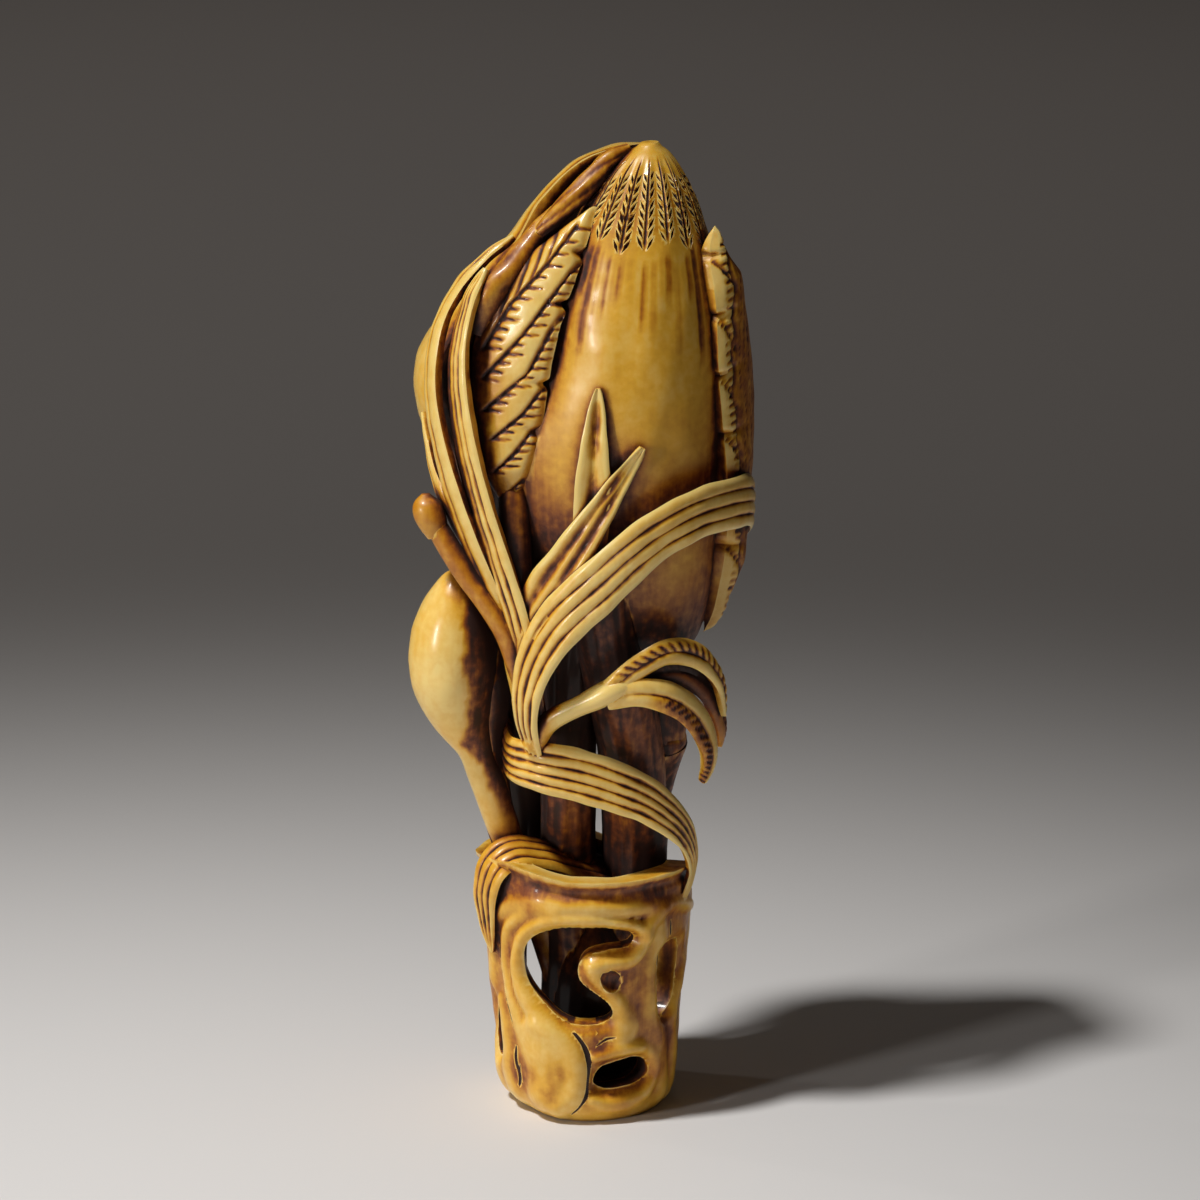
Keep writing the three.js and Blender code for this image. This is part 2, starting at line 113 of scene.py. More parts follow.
def closed_mesh(name, rings, stain, honey):
    """rings is (rows, sides, 3) in millimetres: each row is a closed loop, the loops are joined by quads,
    and a fan closes either end. stain and honey, 0 to 1 at each point, ride along as attributes."""
    rows, sides, _ = rings.shape
    hubs = rings[[0, -1]].mean(axis=1)
    co = np.vstack([rings.reshape(-1, 3), hubs]) + AXIS_SHIFT
    i = np.arange(rows - 1)[:, None] * sides
    j = np.arange(sides)
    k = (j + 1) % sides
    quads = np.stack([i + j, i + k, i + sides + k, i + sides + j], -1).reshape(-1, 4)
    last = (rows - 1) * sides
    fans = np.vstack([
        np.stack([k, j, np.full(sides, rows * sides)], -1),
        np.stack([last + j, last + k, np.full(sides, rows * sides + 1)], -1),
    ])
    # The divergence theorem on the quads' halves gives the volume, whose sign says which way they face.
    halves = np.vstack([quads[:, [0, 1, 2]], quads[:, [0, 2, 3]], fans])
    a, b, c = (co[halves[:, corner]] for corner in range(3))
    volume = np.einsum("ij,ij->i", a, np.cross(b, c)).sum() / 6
    if volume < 0:
        quads, fans = quads[:, ::-1], fans[:, ::-1]
    grids = [np.broadcast_to(values, (rows, sides)) for values in (stain, honey)]
    values = [np.concatenate([grid.ravel(), grid[0, :1], grid[-1, :1]]) for grid in grids]
    piece = new_piece(name, co, quads.tolist() + fans.tolist(), *values)
    forms.append(piece)
    print(f"{name}: {len(co)} points, {abs(volume):.0f} mm3")
    return piece


def uneven(t, lines, cycles, seed):
    """A hand's unevenness along each of some lines: three sines with seeded phases, between 0 and 1."""
    dice = np.random.default_rng(seed)
    pace = np.array([1, 2.3, 4.1])[:, None] * cycles * dice.uniform(0.7, 1.3, (3, lines))
    waves = np.sin(2 * np.pi * (pace * t[..., None, None] + dice.uniform(0, 1, (3, lines))))
    return 0.5 + 0.5 * (waves * np.array([0.5, 0.3, 0.2])[:, None]).sum(axis=-2)


forms = []
knife_work = []


# %% Rods and knife cuts
def rod(name, path, stain, honey, rows=60, sides=20, ribs=0, rib_depth=0.0, twist=0.0):
    """A round rod along a spline of [x, y, z, radius]. ribs raised lines of uneven width run along it and
    may twist, and stain lies between them. stain is a number, or a function of the points."""
    points = spline(path, np.linspace(0, 1, rows))
    line, radius = points[:, :3], points[:, 3:]
    forward = unit(np.gradient(line, axis=0))
    side = unit(np.cross(forward, [0.0, 1.0, 0.0]))
    other = np.cross(side, forward)
    turn = np.arange(sides)[None, :] * 2 * np.pi / sides
    along = np.linspace(0, 1, rows)[:, None]
    wander = 0.35 * np.sin(2 * turn + 5 * along) + 0.25 * np.sin(3 * turn + ribs - 9 * along)
    wave = np.ones((rows, sides))
    if ribs:
        wave = np.abs(np.sin(ribs * (turn + wander / 3) / 2 + twist * along))
    reach = (radius * (1 - rib_depth * (1 - wave)))[..., None]
    spoke = side[:, None] * np.cos(turn)[..., None] + other[:, None] * np.sin(turn)[..., None]
    rings = line[:, None] + reach * spoke
    own = stain(rings) if callable(stain) else stain
    between = (1 - smoothstep(0, 0.6, wave)) * (0.16 + 0.16 * np.sin(4 * turn + 11 * along))
    return closed_mesh(name, rings, np.clip(own + between, -1, 1), honey)


def upright(points, radius):
    """The same radius at every point of a path."""
    return [[*p, radius] for p in points]


def strokes(name, start, end, normal, width, depth, stain, tip_lift=0.06):
    """Short knife cuts as one mesh to take away. Each is a thin boat with five corners: its two tips at
    tip_lift above the skin, and halfway along it two shoulders just above the skin and a keel below it."""
    start, end, normal = (np.atleast_2d(v).astype(float) for v in (start, end, normal))
    side = unit(np.cross(end - start, normal)) * width / 2
    middle = mix(start, end, 0.5)
    lift = normal * 0.06
    tips = [start + normal * tip_lift, end + normal * tip_lift]
    corners = np.stack([*tips, middle + side + lift, middle - side + lift, middle - normal * depth], 1)
    faces = np.array([[0, 2, 3], [0, 4, 2], [0, 3, 4], [1, 3, 2], [1, 2, 4], [1, 4, 3]])
    count = len(corners)
    every = (faces[None] + 5 * np.arange(count)[:, None, None]).reshape(-1, 3)
    values = [np.full(5 * count, value) for value in (stain, 0.5)]
    knife_work.append(new_piece(name, corners.reshape(-1, 3) + AXIS_SHIFT, every.tolist(), *values))
    print(f"{name}: {count} cuts")

# %% [markdown]
# ## The openwork vase
# A hollow root, flared to the top, whose limbs stand out and leave holes between them. It is built as a
# turned wall with relief: the radius is a function of azimuth and height, raised along each root's path by
# a half-round profile. The holes are then drilled through, and the wall is rounded down towards each hole's
# edge, as the knife leaves it.

# %% The wall's profile and the roots' paths
VASE = {"height": 19.8, "foot": 6.0, "rim": 7.6, "wall": 1.4, "floor": 2.0}
FOOT_ROUND = 0.6
ROOT_SPREAD = 1.25
HOLE_FILLET = 0.5

# Each root: how far it stands out, and its path as [azimuth in degrees, height, half width]. Azimuth 0 is
# the front and grows to the right.
ROOTS = {
    "ridge under the rim": (0.75, [
        [87, 15.6, 0.6], [60, 16.8, 0.7], [35, 17.3, 0.75], [0, 17.7, 0.75], [-25, 17.5, 0.75],
        [-46, 16.8, 0.7], [-62, 15.2, 0.7], [-71, 11.5, 0.8], [-77, 7, 1.0], [-82, 3.4, 1.2],
        [-84, 0.3, 1.3]]),
    "lip of the large hole": (0.95, [
        [35, 14.9, 0.5], [30, 15.8, 0.55], [17, 16.3, 0.6], [0, 16.6, 0.65], [-20, 16.3, 0.65],
        [-33, 15.2, 0.65], [-40, 13.8, 0.65], [-43, 11.8, 0.7], [-39, 10, 0.8], [-29, 8.3, 1.0],
        [-16, 6.8, 1.0], [-7, 5.2, 0.9], [-5, 3.7, 0.9], [-9, 2.1, 0.9], [-19, 0.9, 0.9]]),
    "second ridge": (0.7, [
        [-16, 17.2, 0.4], [-32, 16.7, 0.5], [-48, 15.2, 0.5], [-54, 13, 0.5], [-53, 10.5, 0.55],
        [-46, 8, 0.8], [-36, 5.6, 1.2]]),
    "tongue": (1.05, [[-32, 7.6, 1.0], [-25, 5.6, 1.8], [-23, 3.8, 2.1], [-27, 2, 1.7]]),
    "left limb": (0.65, [[-62, 9, 0.5], [-60, 6.5, 0.8], [-62, 3.5, 1.1], [-60, 1, 1.3]]),
    "nose": (0.95, [
        [3, 13.2, 0.6], [7, 13.2, 0.85], [14, 13.2, 0.75], [24, 13.2, 0.7], [31, 13.8, 0.65],
        [36, 14.8, 0.6], [38, 16, 0.6], [46, 16.8, 0.7]]),
    "bridge of the nose": (0.85, [
        [5, 12.6, 0.6], [9, 11.6, 0.65], [14, 10.6, 0.7], [20, 9.4, 0.8], [25, 8, 1.0], [24, 6.4, 1.0],
        [34, 5.9, 0.8]]),
    "lip of the mouth": (0.8, [
        [6, 5.5, 0.5], [22, 5.9, 0.6], [36, 5.8, 0.6], [46, 4.7, 0.65], [47, 3, 0.7], [38, 1.8, 0.8],
        [16, 1.5, 0.9], [4, 2, 0.6]]),
    "trunk": (0.75, [
        [44, 16, 0.8], [46, 13.8, 0.9], [44, 11, 1.3], [46, 8.1, 1.3], [54, 4.6, 1.0], [60, 1.4, 1.0]]),
    "right limb": (0.65, [
        [98, 16.5, 0.7], [90, 12, 0.7], [78, 9.8, 0.6], [68, 7.6, 0.7], [74, 4, 0.8], [72, 1.1, 0.9]]),
    "side limb": (0.6, [[112, 16.5, 0.9], [106, 10, 0.9], [98, 5, 1.1], [88, 1, 1.3]]),
    "back loop": (0.75, [
        [140, 16.6, 0.8], [126, 13, 0.8], [122, 8.6, 0.9], [136, 5.6, 1.1], [158, 4.4, 1.2], [176, 6, 1.0],
        [172, 10, 0.9], [178, 16.4, 0.8]]),
    "back trunk": (0.65, [[-168, 16.5, 0.8], [-176, 12, 0.8], [-166, 7, 1.0], [-176, 2, 1.8]]),
    "back limb": (0.65, [[-124, 17, 0.9], [-122, 11, 0.9], [-130, 6, 1.1], [-120, 1, 1.5]]),
    "left side limb": (0.6, [[-104, 16, 0.8], [-98, 10, 0.9], [-106, 4, 1.2], [-104, 0.5, 1.4]]),
}


def vase_radius(z):
    """The plain wall: a straight flare from foot to rim, with the foot's edge rounded off."""
    return mix(VASE["foot"], VASE["rim"], z / VASE["height"]) - FOOT_ROUND * np.exp(-z / FOOT_ROUND)


def azimuth_near(azimuth):
    """The same azimuth between -180 and 180 degrees."""
    return (azimuth + 180) % 360 - 180


def relief(azimuth, z):
    """How far the wall stands out: the backs of the roots, each (1 - d2) to the power 0.8 at the distance d
    from its path, melted together as the cube root of the sum of their cubes."""
    total = (0.5 + 0.2 * bump(z - VASE["height"] + 0.1, 0.4) - 0.22 * bump(z - 18.9, 0.45)) ** 3
    for height, path in ROOTS.values():
        line = spline(path, np.linspace(0, 1, 14 * len(path)))
        sideways = azimuth_near(azimuth[..., None] - line[:, 0]) * math.radians(VASE["foot"] + 0.8)
        away = (np.hypot(sideways, z[..., None] - line[:, 1]) / (ROOT_SPREAD * line[:, 2])).min(axis=-1)
        total = total + (height * np.clip(1 - away**2, 0, 1) ** 0.8) ** 3
    return total ** (1 / 3)


# %% The holes' outlines
# Each hole: the azimuth it is drilled along, and its outline as [sideways, height].
HOLES = {
    "large hole": (0, [
        [-4.6, 12.4], [-4.5, 14], [-3.5, 15.3], [-1.6, 16], [0.8, 16], [2.8, 15.6], [3.5, 15], [3.1, 14.2],
        [1.7, 14.1], [0.2, 13.8], [-0.5, 12.9], [-0.4, 11.7], [0.5, 10.8], [1.6, 9.8], [2, 8.9], [1.3, 8.2],
        [-0.4, 8], [-1.8, 8.5], [-3.1, 9.6], [-4.2, 11]]),
    "mouth": (24, [
        [-2.1, 3.4], [-1.6, 4.5], [-0.2, 4.9], [1, 5.1], [2, 4.6], [2.3, 3.6], [1.5, 2.9], [0.2, 2.7],
        [-1.3, 2.8]]),
    "right hole": (72, [
        [-3.2, 13], [-1.8, 13.6], [0.1, 13.2], [0.5, 11.6], [-0.1, 9.4], [-1.2, 7.9], [-2.3, 7.9],
        [-3, 10.4]]),
    "back left hole": (-146, [[-2.6, 10.5], [-1.4, 13.2], [1, 13], [2.2, 9.6], [1.4, 6], [-1, 5.4]]),
    "back right hole": (156, [[-2, 12], [0, 13.6], [1.6, 12.4], [1.6, 9.4], [0.4, 7.4], [-1.7, 8.4]]),
    "left slit": (-76, [[-1, 7.6], [0, 9.2], [1, 7.4], [0.8, 4.6], [-0.5, 3.9]]),
}


def hole_edge(outline, count):
    """The closed spline through a hole's outline: it starts and ends on the same point and slope."""
    loop = outline[-2:] + outline + outline[:2]
    last = len(loop) - 1
    return spline(loop, np.linspace(2 / last, (last - 1) / last, count, endpoint=False))


def turned(azimuth, radius, z, x=0.0, y=0.0):
    """Points at an azimuth in degrees and a radius about the upright line through (x, y)."""
    turn, radius, z = np.broadcast_arrays(np.radians(azimuth), radius, z)
    return np.stack([x + radius * np.sin(turn), y - radius * np.cos(turn), z], -1)


# %% The wall, the hollow and the drills
# Brown smudges that the polish left in the dips: [azimuth, height, radius, strength].
SMUDGES = [
    [-17, 4.2, 0.8, 0.35], [-22, 2.3, 0.8, 0.35], [-36, 3.6, 0.7, 0.3], [14, 11.4, 0.8, 0.4],
    [23, 12, 0.8, 0.4], [-30, 17, 0.7, 0.3], [42, 18, 1.0, 0.45], [10, 6.3, 0.8, 0.4],
    [-46, 18.6, 1.3, 0.5], [-28, 18.9, 0.8, 0.4], [-8, 18.9, 0.7, 0.35], [8, 18.9, 0.6, 0.35],
    [20, 18.9, 0.7, 0.4], [33, 18.9, 0.7, 0.4], [30, 9, 0.8, 0.3], [-66, 14, 1.2, 0.35],
    [-49, 3.5, 0.8, 0.4], [60, 6, 1.2, 0.4], [52, 17, 1.2, 0.3], [24, 1.2, 1.0, 0.25], [43, 11, 1.2, 0.4],
    [48, 7, 1.2, 0.4], [51, 3.6, 1.0, 0.4], [90, 10, 1.6, 0.4], [120, 4, 2, 0.35], [170, 9, 2, 0.35],
    [-150, 4, 2, 0.35], [-110, 8, 2, 0.35]
]
# The rim's height above the vase's own, by azimuth: it dips at the back right.
RIM_WAVE = [
    [-180, -1.2], [-140, -0.6], [-100, -0.5], [-70, 0.3], [-45, 0.7], [-30, 0.4], [-10, -0.1], [20, -0.2],
    [45, -0.2], [62, -0.3], [84, -0.8], [104, -1.8], [128, -3.4], [150, -2.6], [180, -1.2]
]


def vase_wall():
    """Outer skin: plain radius plus relief, less a fillet beside each hole's edge. The rim rises and falls
    by azimuth, and the foot is cut back at the left. The stain lies in the dips between the roots and in
    the smudges."""
    azimuth, z = np.meshgrid(np.arange(192) * 360 / 192, VASE["height"] * np.linspace(0, 1, 78))
    rise = relief(azimuth, z)
    cut_back = 1.1 * bump(azimuth_near(azimuth + 68), 36) * np.exp(-z / 1.1)
    radius = vase_radius(z) + rise - cut_back
    for side, outline in HOLES.values():
        edge = hole_edge(outline, 70)
        turn = np.radians(azimuth - side)
        sideways = radius * np.sin(turn)
        gap = np.hypot(sideways[..., None] - edge[:, 0], z[..., None] - edge[:, 1]).min(axis=-1)
        gap = np.where(np.cos(turn) > 0, gap, 9)
        radius = radius - HOLE_FILLET * bump(gap, 0.45)
    stain = 0.26 * (1 - smoothstep(0.45, 0.8, rise)) * smoothstep(0.5, 2.5, z)
    for side, height, reach, strength in SMUDGES:
        away = np.hypot(azimuth_near(azimuth - side) * math.radians(VASE["rim"]), z - height)
        stain = stain + 0.65 * strength * bump(away, 1.2 * reach)
    wave = np.interp(azimuth_near(azimuth), *np.transpose(RIM_WAVE)) * (z / VASE["height"]) ** 6
    closed_mesh("vase wall", turned(azimuth, radius, z + wave), np.clip(stain, 0, 1), 0.5)


def vase_hollow():
    """The space inside, wall thickness in from the plain outer radius, from the floor to above the rim."""
    z = np.array([VASE["floor"], VASE["floor"] + 0.6, *np.linspace(3.5, VASE["height"] + 2, 12)])[:, None]
    azimuth = np.arange(72)[None, :] * 5.0
    inset = VASE["wall"] + 0.5 * np.exp(-(z - VASE["floor"]) / 0.6)
    return closed_mesh("vase hollow", turned(azimuth, vase_radius(z) - inset, z), 0.75, 0.5)


def drill(name, side, outline):
    """A hole's outline carried straight out from the middle of the vase along its azimuth. Its walls hold
    the stain inside and are worn pale at the outer edge."""
    u, z = hole_edge(outline, 60).T
    depth = np.array([0, 5.2, 6.6, 12])[:, None]
    a = math.radians(side)
    x, y = u * math.cos(a) + depth * math.sin(a), u * math.sin(a) - depth * math.cos(a)
    rings = np.stack([x, y, np.broadcast_to(z, x.shape)], -1)
    return closed_mesh(name, rings, np.array([[0.9], [0.9], [0.35], [0.2]]), 0.5)


def vase_cut(name, path, size, stain, lift=0.03):
    """A crease as a thin rod to take away: it lies lift above the wall's skin along a path of [azimuth,
    height], and its radius, size in the middle, falls as a square root of a sine to both ends."""
    t = np.linspace(0, 1, 6 * len(path))
    azimuth, z = spline(path, t).T
    skin_radius = vase_radius(z) + relief(azimuth, z)
    radius = size * np.sqrt(np.sin(np.pi * mix(0.02, 0.98, t)))
    rail = np.column_stack([turned(azimuth, skin_radius + lift, z), radius])
    knife_work.append(rod(name, rail, stain, 0.5, rows=8 * len(path), sides=8))


vase_wall()
vase_cut("crease of the tongue", [
    [-16, 8.3], [-8, 7.6], [-1, 6.4], [2, 4.8], [1, 2.8], [-4, 1.4], [-10, 0.6]
], 0.2, 0.95)
vase_cut("nostril", [[9, 12.4], [15, 11.7], [22, 11.2]], 0.9, 0.42, 0.5)
vase_cut("wrinkle above the lip", [[5, 7.2], [11, 7.9], [19, 8.3]], 0.13, 0.5)
vase_cut("wrinkle of the lip", [[6, 6.4], [12, 6.9], [18, 7.1]], 0.12, 0.45)
vase_cut("forked cut", [[-49, 5.6], [-50, 4.4], [-48, 3], [-52, 1.6]], 0.26, 0.85)
vase_cut("side of the forked cut", [[-46, 4.2], [-48, 3.4], [-49, 2.6]], 0.18, 0.85)
vase_cut("long crease", [[-59, 13.4], [-57, 11], [-53, 8.8], [-49, 7]], 0.16, 0.8)
vase_cut("crease beside the trunk", [[55, 15.6], [57, 13], [56, 10.2], [60, 7.4]], 0.16, 0.8)
vase_cut("crease under the right limb", [[82, 8.2], [78, 6], [80, 3.4]], 0.2, 0.8)
cutters = [vase_hollow()] + [drill(name, *hole) for name, hole in HOLES.items()]
forms = [piece for piece in forms if piece not in cutters + knife_work]

# %% [markdown]
# ## The big bud
# The bud is a spindle: level rings about a leaning axis. Its radius is a power of a sine, blunt below and
# pointed above. Eighteen petals meet at the tip, each with a midrib and barbs cut like a fishbone. Below
# them the brown stain has run down the grain in streaks. A midrib follows one line of the grid, so it is a
# dent in the skin. The barbs slant across the grid, and hundreds of small wedges taken away from it give
# them sharper lines with fewer faces.

# %% The bud's surface
HEIGHT = 74.0
BUD = {"bottom": 35.0, "radius": 7.1, "x": 3.3, "y": -0.5, "lean": 1.35}
PETALS = 18
# The first midrib's azimuth: two steps of the bud's grid of 162 sides.
RIB_AT = 40 / 9
TIP_KNOB = 0.8


def bud_swell(z):
    """The bud's radius as a share of its widest: sin(pi u) to a power that goes from blunt below to pointed
    at the tip."""
    u = (z - BUD["bottom"]) / (HEIGHT - BUD["bottom"])
    return np.sin(np.pi * np.clip(u, 0.004, 0.996)) ** mix(0.27, 0.56, u)


def streaks(azimuth, radius, z):
    """Stain run down the grain: narrow upright streaks of uneven length, stronger away from the front."""
    count = 60
    dice = np.random.default_rng(11)
    length, strength, drift, wide, first = (
        dice.uniform(low, high, count)
        for low, high in ((2.4, 7.5), (0.1, 1), (-2, 2), (0.13, 0.3), (66.2, 67.6)))
    spot = np.round(azimuth * count / 360)
    k = spot.astype(int) % count
    sideways = (azimuth - spot * 360 / count - drift[k]) * math.radians(1) * radius
    start = smoothstep(first[k], first[k] - 0.9, z)
    end = smoothstep(66.4 - length[k] - 0.8, 66.4 - length[k] + 1.2, z)
    away = np.abs(azimuth_near(azimuth - 6))
    return bump(sideways, wide[k]) * start * end * strength[k] * mix(0.5, 1.0, smoothstep(8, 36, away))


def petal_swelling(azimuth, radius, z):
    """The petals' backs near the tip: one cosine wave to each petal, highest on its midrib."""
    wave = np.cos(np.radians((azimuth - RIB_AT) * PETALS))
    return 0.07 * np.minimum(1, radius / 3) * smoothstep(67, 70, z) * (1 - smoothstep(72.5, 73.4, z)) * wave


def bud_carving(azimuth, radius, z):
    """What the carving adds to the radius, and the stain, which here also holds painted shade. The petals
    swell a little towards the tip and each has a V-shaped midrib cut down it. The streaks lie a little
    below the skin. The painted shade darkens the bud towards its bottom and towards its sides."""
    run = streaks(azimuth, radius, z)
    off = (azimuth - RIB_AT + 180 / PETALS) % (360 / PETALS) - 180 / PETALS
    lowest = 67.3 + 0.5 * np.sin(1.7 * np.round((azimuth - RIB_AT) * PETALS / 360))
    rib = bump(off, 1.0) * smoothstep(lowest - 0.3, lowest + 0.3, z) * (1 - smoothstep(72.6, 73.3, z))
    # Painted shade: the bud grows darker towards its bottom and towards its sides, away from the front.
    side = np.abs(azimuth_near(azimuth - 4))
    shade = 0.22 * smoothstep(47, 38, z) + 0.16 * smoothstep(32, 62, side)
    crown = 0.26 * bump(z - 69.8, 2.2) * (1 - smoothstep(72, 73, z))
    added = petal_swelling(azimuth, radius, z) - np.minimum(1, radius / 3) * (0.03 * run + 0.15 * rib)
    return added, np.clip(0.65 * run + shade * smoothstep(69, 63, z) + crown + 0.7 * rib, 0, 1)


def bud_axis(z):
    """The axis leans to the right above and below the middle."""
    return BUD["x"] + BUD["lean"] * ((z - 54) / 20) ** 2, BUD["y"]


def bud_left(z):
    """The bud's left side is fuller around the height of the grass blades."""
    return 0.6 * smoothstep(60, 48, z) * smoothstep(33, 39, z)


def big_bud(rows=81, sides=162):
    """Level rings about the leaning axis, closer together near the tip, where the carving is fine. The left
    half is wider by the share bud_left(z), and the tip is a small flat knob."""
    u = np.interp(np.linspace(0, 1, rows), [0, 0.3, 1], [0, 0.6, 1])
    u = mix(u, 0.5 - 0.5 * np.cos(np.pi * u), 0.4)
    z, azimuth = np.meshgrid(mix(BUD["bottom"], HEIGHT, u), np.arange(sides) * 360 / sides, indexing="ij")
    sideways = BUD["radius"] * (1 + bud_left(z) * (azimuth > 180))
    turn = np.radians(azimuth)
    radius = bud_swell(z) / np.hypot(np.sin(turn) / sideways, np.cos(turn) / BUD["radius"])
    radius = np.maximum(radius, TIP_KNOB) * np.minimum(1, np.sqrt((HEIGHT - z) / 0.25 + 0.5) + 0.1)
    added, stain = bud_carving(azimuth, radius, z)
    closed_mesh("big bud", turned(azimuth, radius + added, z, *bud_axis(z)), stain, 0.75)


big_bud()


# %% The barbs near the tip
def crown_point(azimuth, z):
    """The bud's skin near the tip, and its outward normal, which leans up where the bud narrows."""
    radius = BUD["radius"] * bud_swell(z)
    above = BUD["radius"] * bud_swell(z + 0.1)
    place = turned(azimuth, radius + petal_swelling(azimuth, radius, z), z, *bud_axis(z))
    return place, unit(turned(azimuth, 1.0, (radius - above) / 0.1))


def fishbones():
    """On both sides of every midrib barbs rise outwards, 0.66 mm apart, from beside the rib to the edge of
    its petal."""
    ribs = np.arange(PETALS) * 360 / PETALS + RIB_AT
    dice = np.random.default_rng(5)
    for label, hand in (("left", -1), ("right", 1)):
        z = 67.0 + 0.5 * np.sin(1.7 * np.arange(PETALS))[:, None] + 0.66 * np.arange(8)
        z = (z + dice.uniform(-0.1, 0.1, (PETALS, 8))).ravel()
        azimuth = np.repeat(ribs, 8)
        keep = z < 71.7
        z, azimuth = z[keep], azimuth[keep]
        degree = BUD["radius"] * bud_swell(z) * math.radians(1)
        a, normal = crown_point(azimuth + hand * 0.1 / degree, z)
        reach = np.minimum(9.2, 0.72 / degree)
        b, _ = crown_point(azimuth + hand * reach, z + 1.5 * reach * degree)
        strokes(f"barbs on the {label}", a, b, normal, 0.3, 0.22, 0.85, 0.02)


fishbones()

# %% [markdown]
# ## The hood petal, the stamens and the pod
# Behind the bud one petal stands open like a hood. Its front edge is undercut, so each level ring runs
# round the back and comes in again behind a rolled edge. A twisted strand of stamens lies in the hollow.
# The pod at the left is a plain polished swelling at the end of its stem, so one rod with a radius that
# grows makes both.

# %% Hood, stamens, pod and knob
HOOD_Y = 2.4
HOOD_SWEEP = 250
HOOD_SPINE = [
    [-2.5, 38, 1.6], [-4.6, 46, 4.6], [-6, 52.5, 6.2], [-6.3, 57, 6.3], [-5.3, 60.2, 5.6],
    [-3.6, 63.4, 4.6], [-1.6, 66.4, 4.1], [0.2, 69.4, 3.7], [1.7, 71.8, 2.8], [3.3, 73, 1.8],
    [3.8, 73.25, 0.5]
]


def hood():
    """Level rings on a spine of [x, height, radius]: an outer arc of HOOD_SWEEP degrees, then back through
    the hollow. The edge faces further to the left near the top. Stain fills the hollow."""
    x, z, radius = spline(HOOD_SPINE, np.linspace(0, 1, 72)).T[:, :, None]
    front = mix(-34, -62, smoothstep(60, 70, z))
    sweep = np.linspace(0, 1, 56)[None, :]
    rolled = 0.22 * bump(sweep * HOOD_SWEEP, 9) - 0.25 * bump(sweep * HOOD_SWEEP - 17, 6)
    outer = turned(front - HOOD_SWEEP * sweep, radius + rolled * np.minimum(1, radius / 3), z, x, HOOD_Y)
    way_back = ((-200, 0.5, 0), (60, 0.1, 0), (0, 0.5, 0.6), (-18, 1, 2.6), (-12, 1, 2.0), (-4, 1, 1.5),
                (2, 1, 1.1), (5, 1, 0.6), (4, 1, 0.2))
    inner = [turned(front + a, np.maximum(radius * share - less, 0.15), z, x, HOOD_Y)
             for a, share, less in way_back]
    edge_line = 0.5 * bump(sweep[0] * HOOD_SWEEP - 17, 5)
    stain = np.concatenate([edge_line, [0.8] * 5, [0.75, 0.6, 0.2, 0]])
    closed_mesh("hood petal", np.concatenate([outer, *inner], axis=1), stain, 0.35)


hood()
rod("stamens", [
    [3.2, -0.4, 73.6, 0.4], [1.6, -1, 72.7, 0.7], [0.5, -1.4, 71.5, 0.85], [-0.7, -1.8, 70.2, 0.9],
    [-2.2, -2.2, 68.8, 0.8], [-3.4, -2.3, 67.6, 0.5]
], 0.25, 0.4, rows=70, sides=30, ribs=5, rib_depth=0.16, twist=6)
rod("curled hood edge", [
    [-2.2, -1.4, 69.2, 0.4], [-3.4, -1.9, 67.7, 0.75], [-5.4, -3, 65.2, 1], [-6.6, -3.4, 63.9, 1.15],
    [-7.4, -3.4, 62.2, 1], [-7.9, -3.2, 60.4, 0.6]
], 0.25, 0.3, rows=44, ribs=3, rib_depth=0.12, twist=2)


def pod_stain_and_shade(points):
    """Stain and painted shade: dark on the side towards the stems, which is turned from the light, up to an
    uneven border: x at some heights, plus small waves.
    """
    x, z = points[..., 0], points[..., 2]
    border = np.interp(z, [20, 24, 27, 29, 31, 33, 36, 39, 41],
                       [-5.4, -6.6, -7.6, -9.2, -8.8, -8.6, -9.0, -8.8, -8.3])
    border = border + 0.14 * np.sin(1.9 * z) + 0.1 * np.sin(5.3 * z + 1)
    return 0.62 * smoothstep(border - 0.35, border + 0.45, x) * smoothstep(20, 27, z) - 0.05


# The pod's side towards the stems, turned from the light, is painted dark as stain and painted shade.
rod("pod and its stem", [
    [-1.6, 1.2, 6, 1], [-3, 1, 12, 1.1], [-4.6, 0.2, 17, 1.15], [-5.9, -0.8, 20.6, 1.2],
    [-7.2, -1.5, 25, 1.3], [-8.2, -1.9, 28.2, 1.4], [-9.2, -2, 30.8, 2.3], [-9.8, -2, 33.6, 3.15],
    [-9.8, -2, 36.6, 3.25], [-9.5, -2, 39.4, 2.6], [-9.3, -2, 41.4, 1.4], [-9.2, -2, 42.3, 0.2]
], pod_stain_and_shade, 0.3, rows=64, sides=50)
strokes("crack in the pod", [-10.85, -5.05, 35.9], [-11.05, -4.98, 34.7], [-0.36, -0.93, 0], 0.22, 0.3,
    0.8)
rod("shaded side of the pod's stem", [
    [-3, 1, 13, 0.9], [-4.8, 0, 18, 1], [-6.2, -0.7, 21, 1.2], [-7, -1, 25.4, 1.25],
    [-7.4, -1.2, 29.4, 1.5], [-7.5, -0.9, 34, 2.1], [-8.4, -1.5, 39.5, 1]
], 0.5, 0.9, rows=48, sides=30, ribs=5, rib_depth=0.1)
rod("knob", [
    [-10.9, -4.4, 45.4, 0.75], [-11.2, -4.3, 46.2, 1.05], [-11.5, -4.2, 47, 1.15], [-11.7, -4.1, 47.8, 1.0],
    [-11.75, -4, 48.5, 0.3]
], 0.12, 0.7, rows=30, sides=28)

# %% [markdown]
# ## The pinnate leaves
# Each leaf is a sheet stretched between a front edge and a back edge, and bulged between them. Slanting
# furrows part the leaflets, the front edge has a notch where each furrow leaves it, and a comb of short
# strokes follows every furrow. The right leaf shows its edge to the front, so it has level strokes along
# that edge and rows of pricks behind it.

# %% Engraving and leaves
PITCH, PITCH_GROWTH = 0.46, 0.019
LEAF_THICK = 1.4


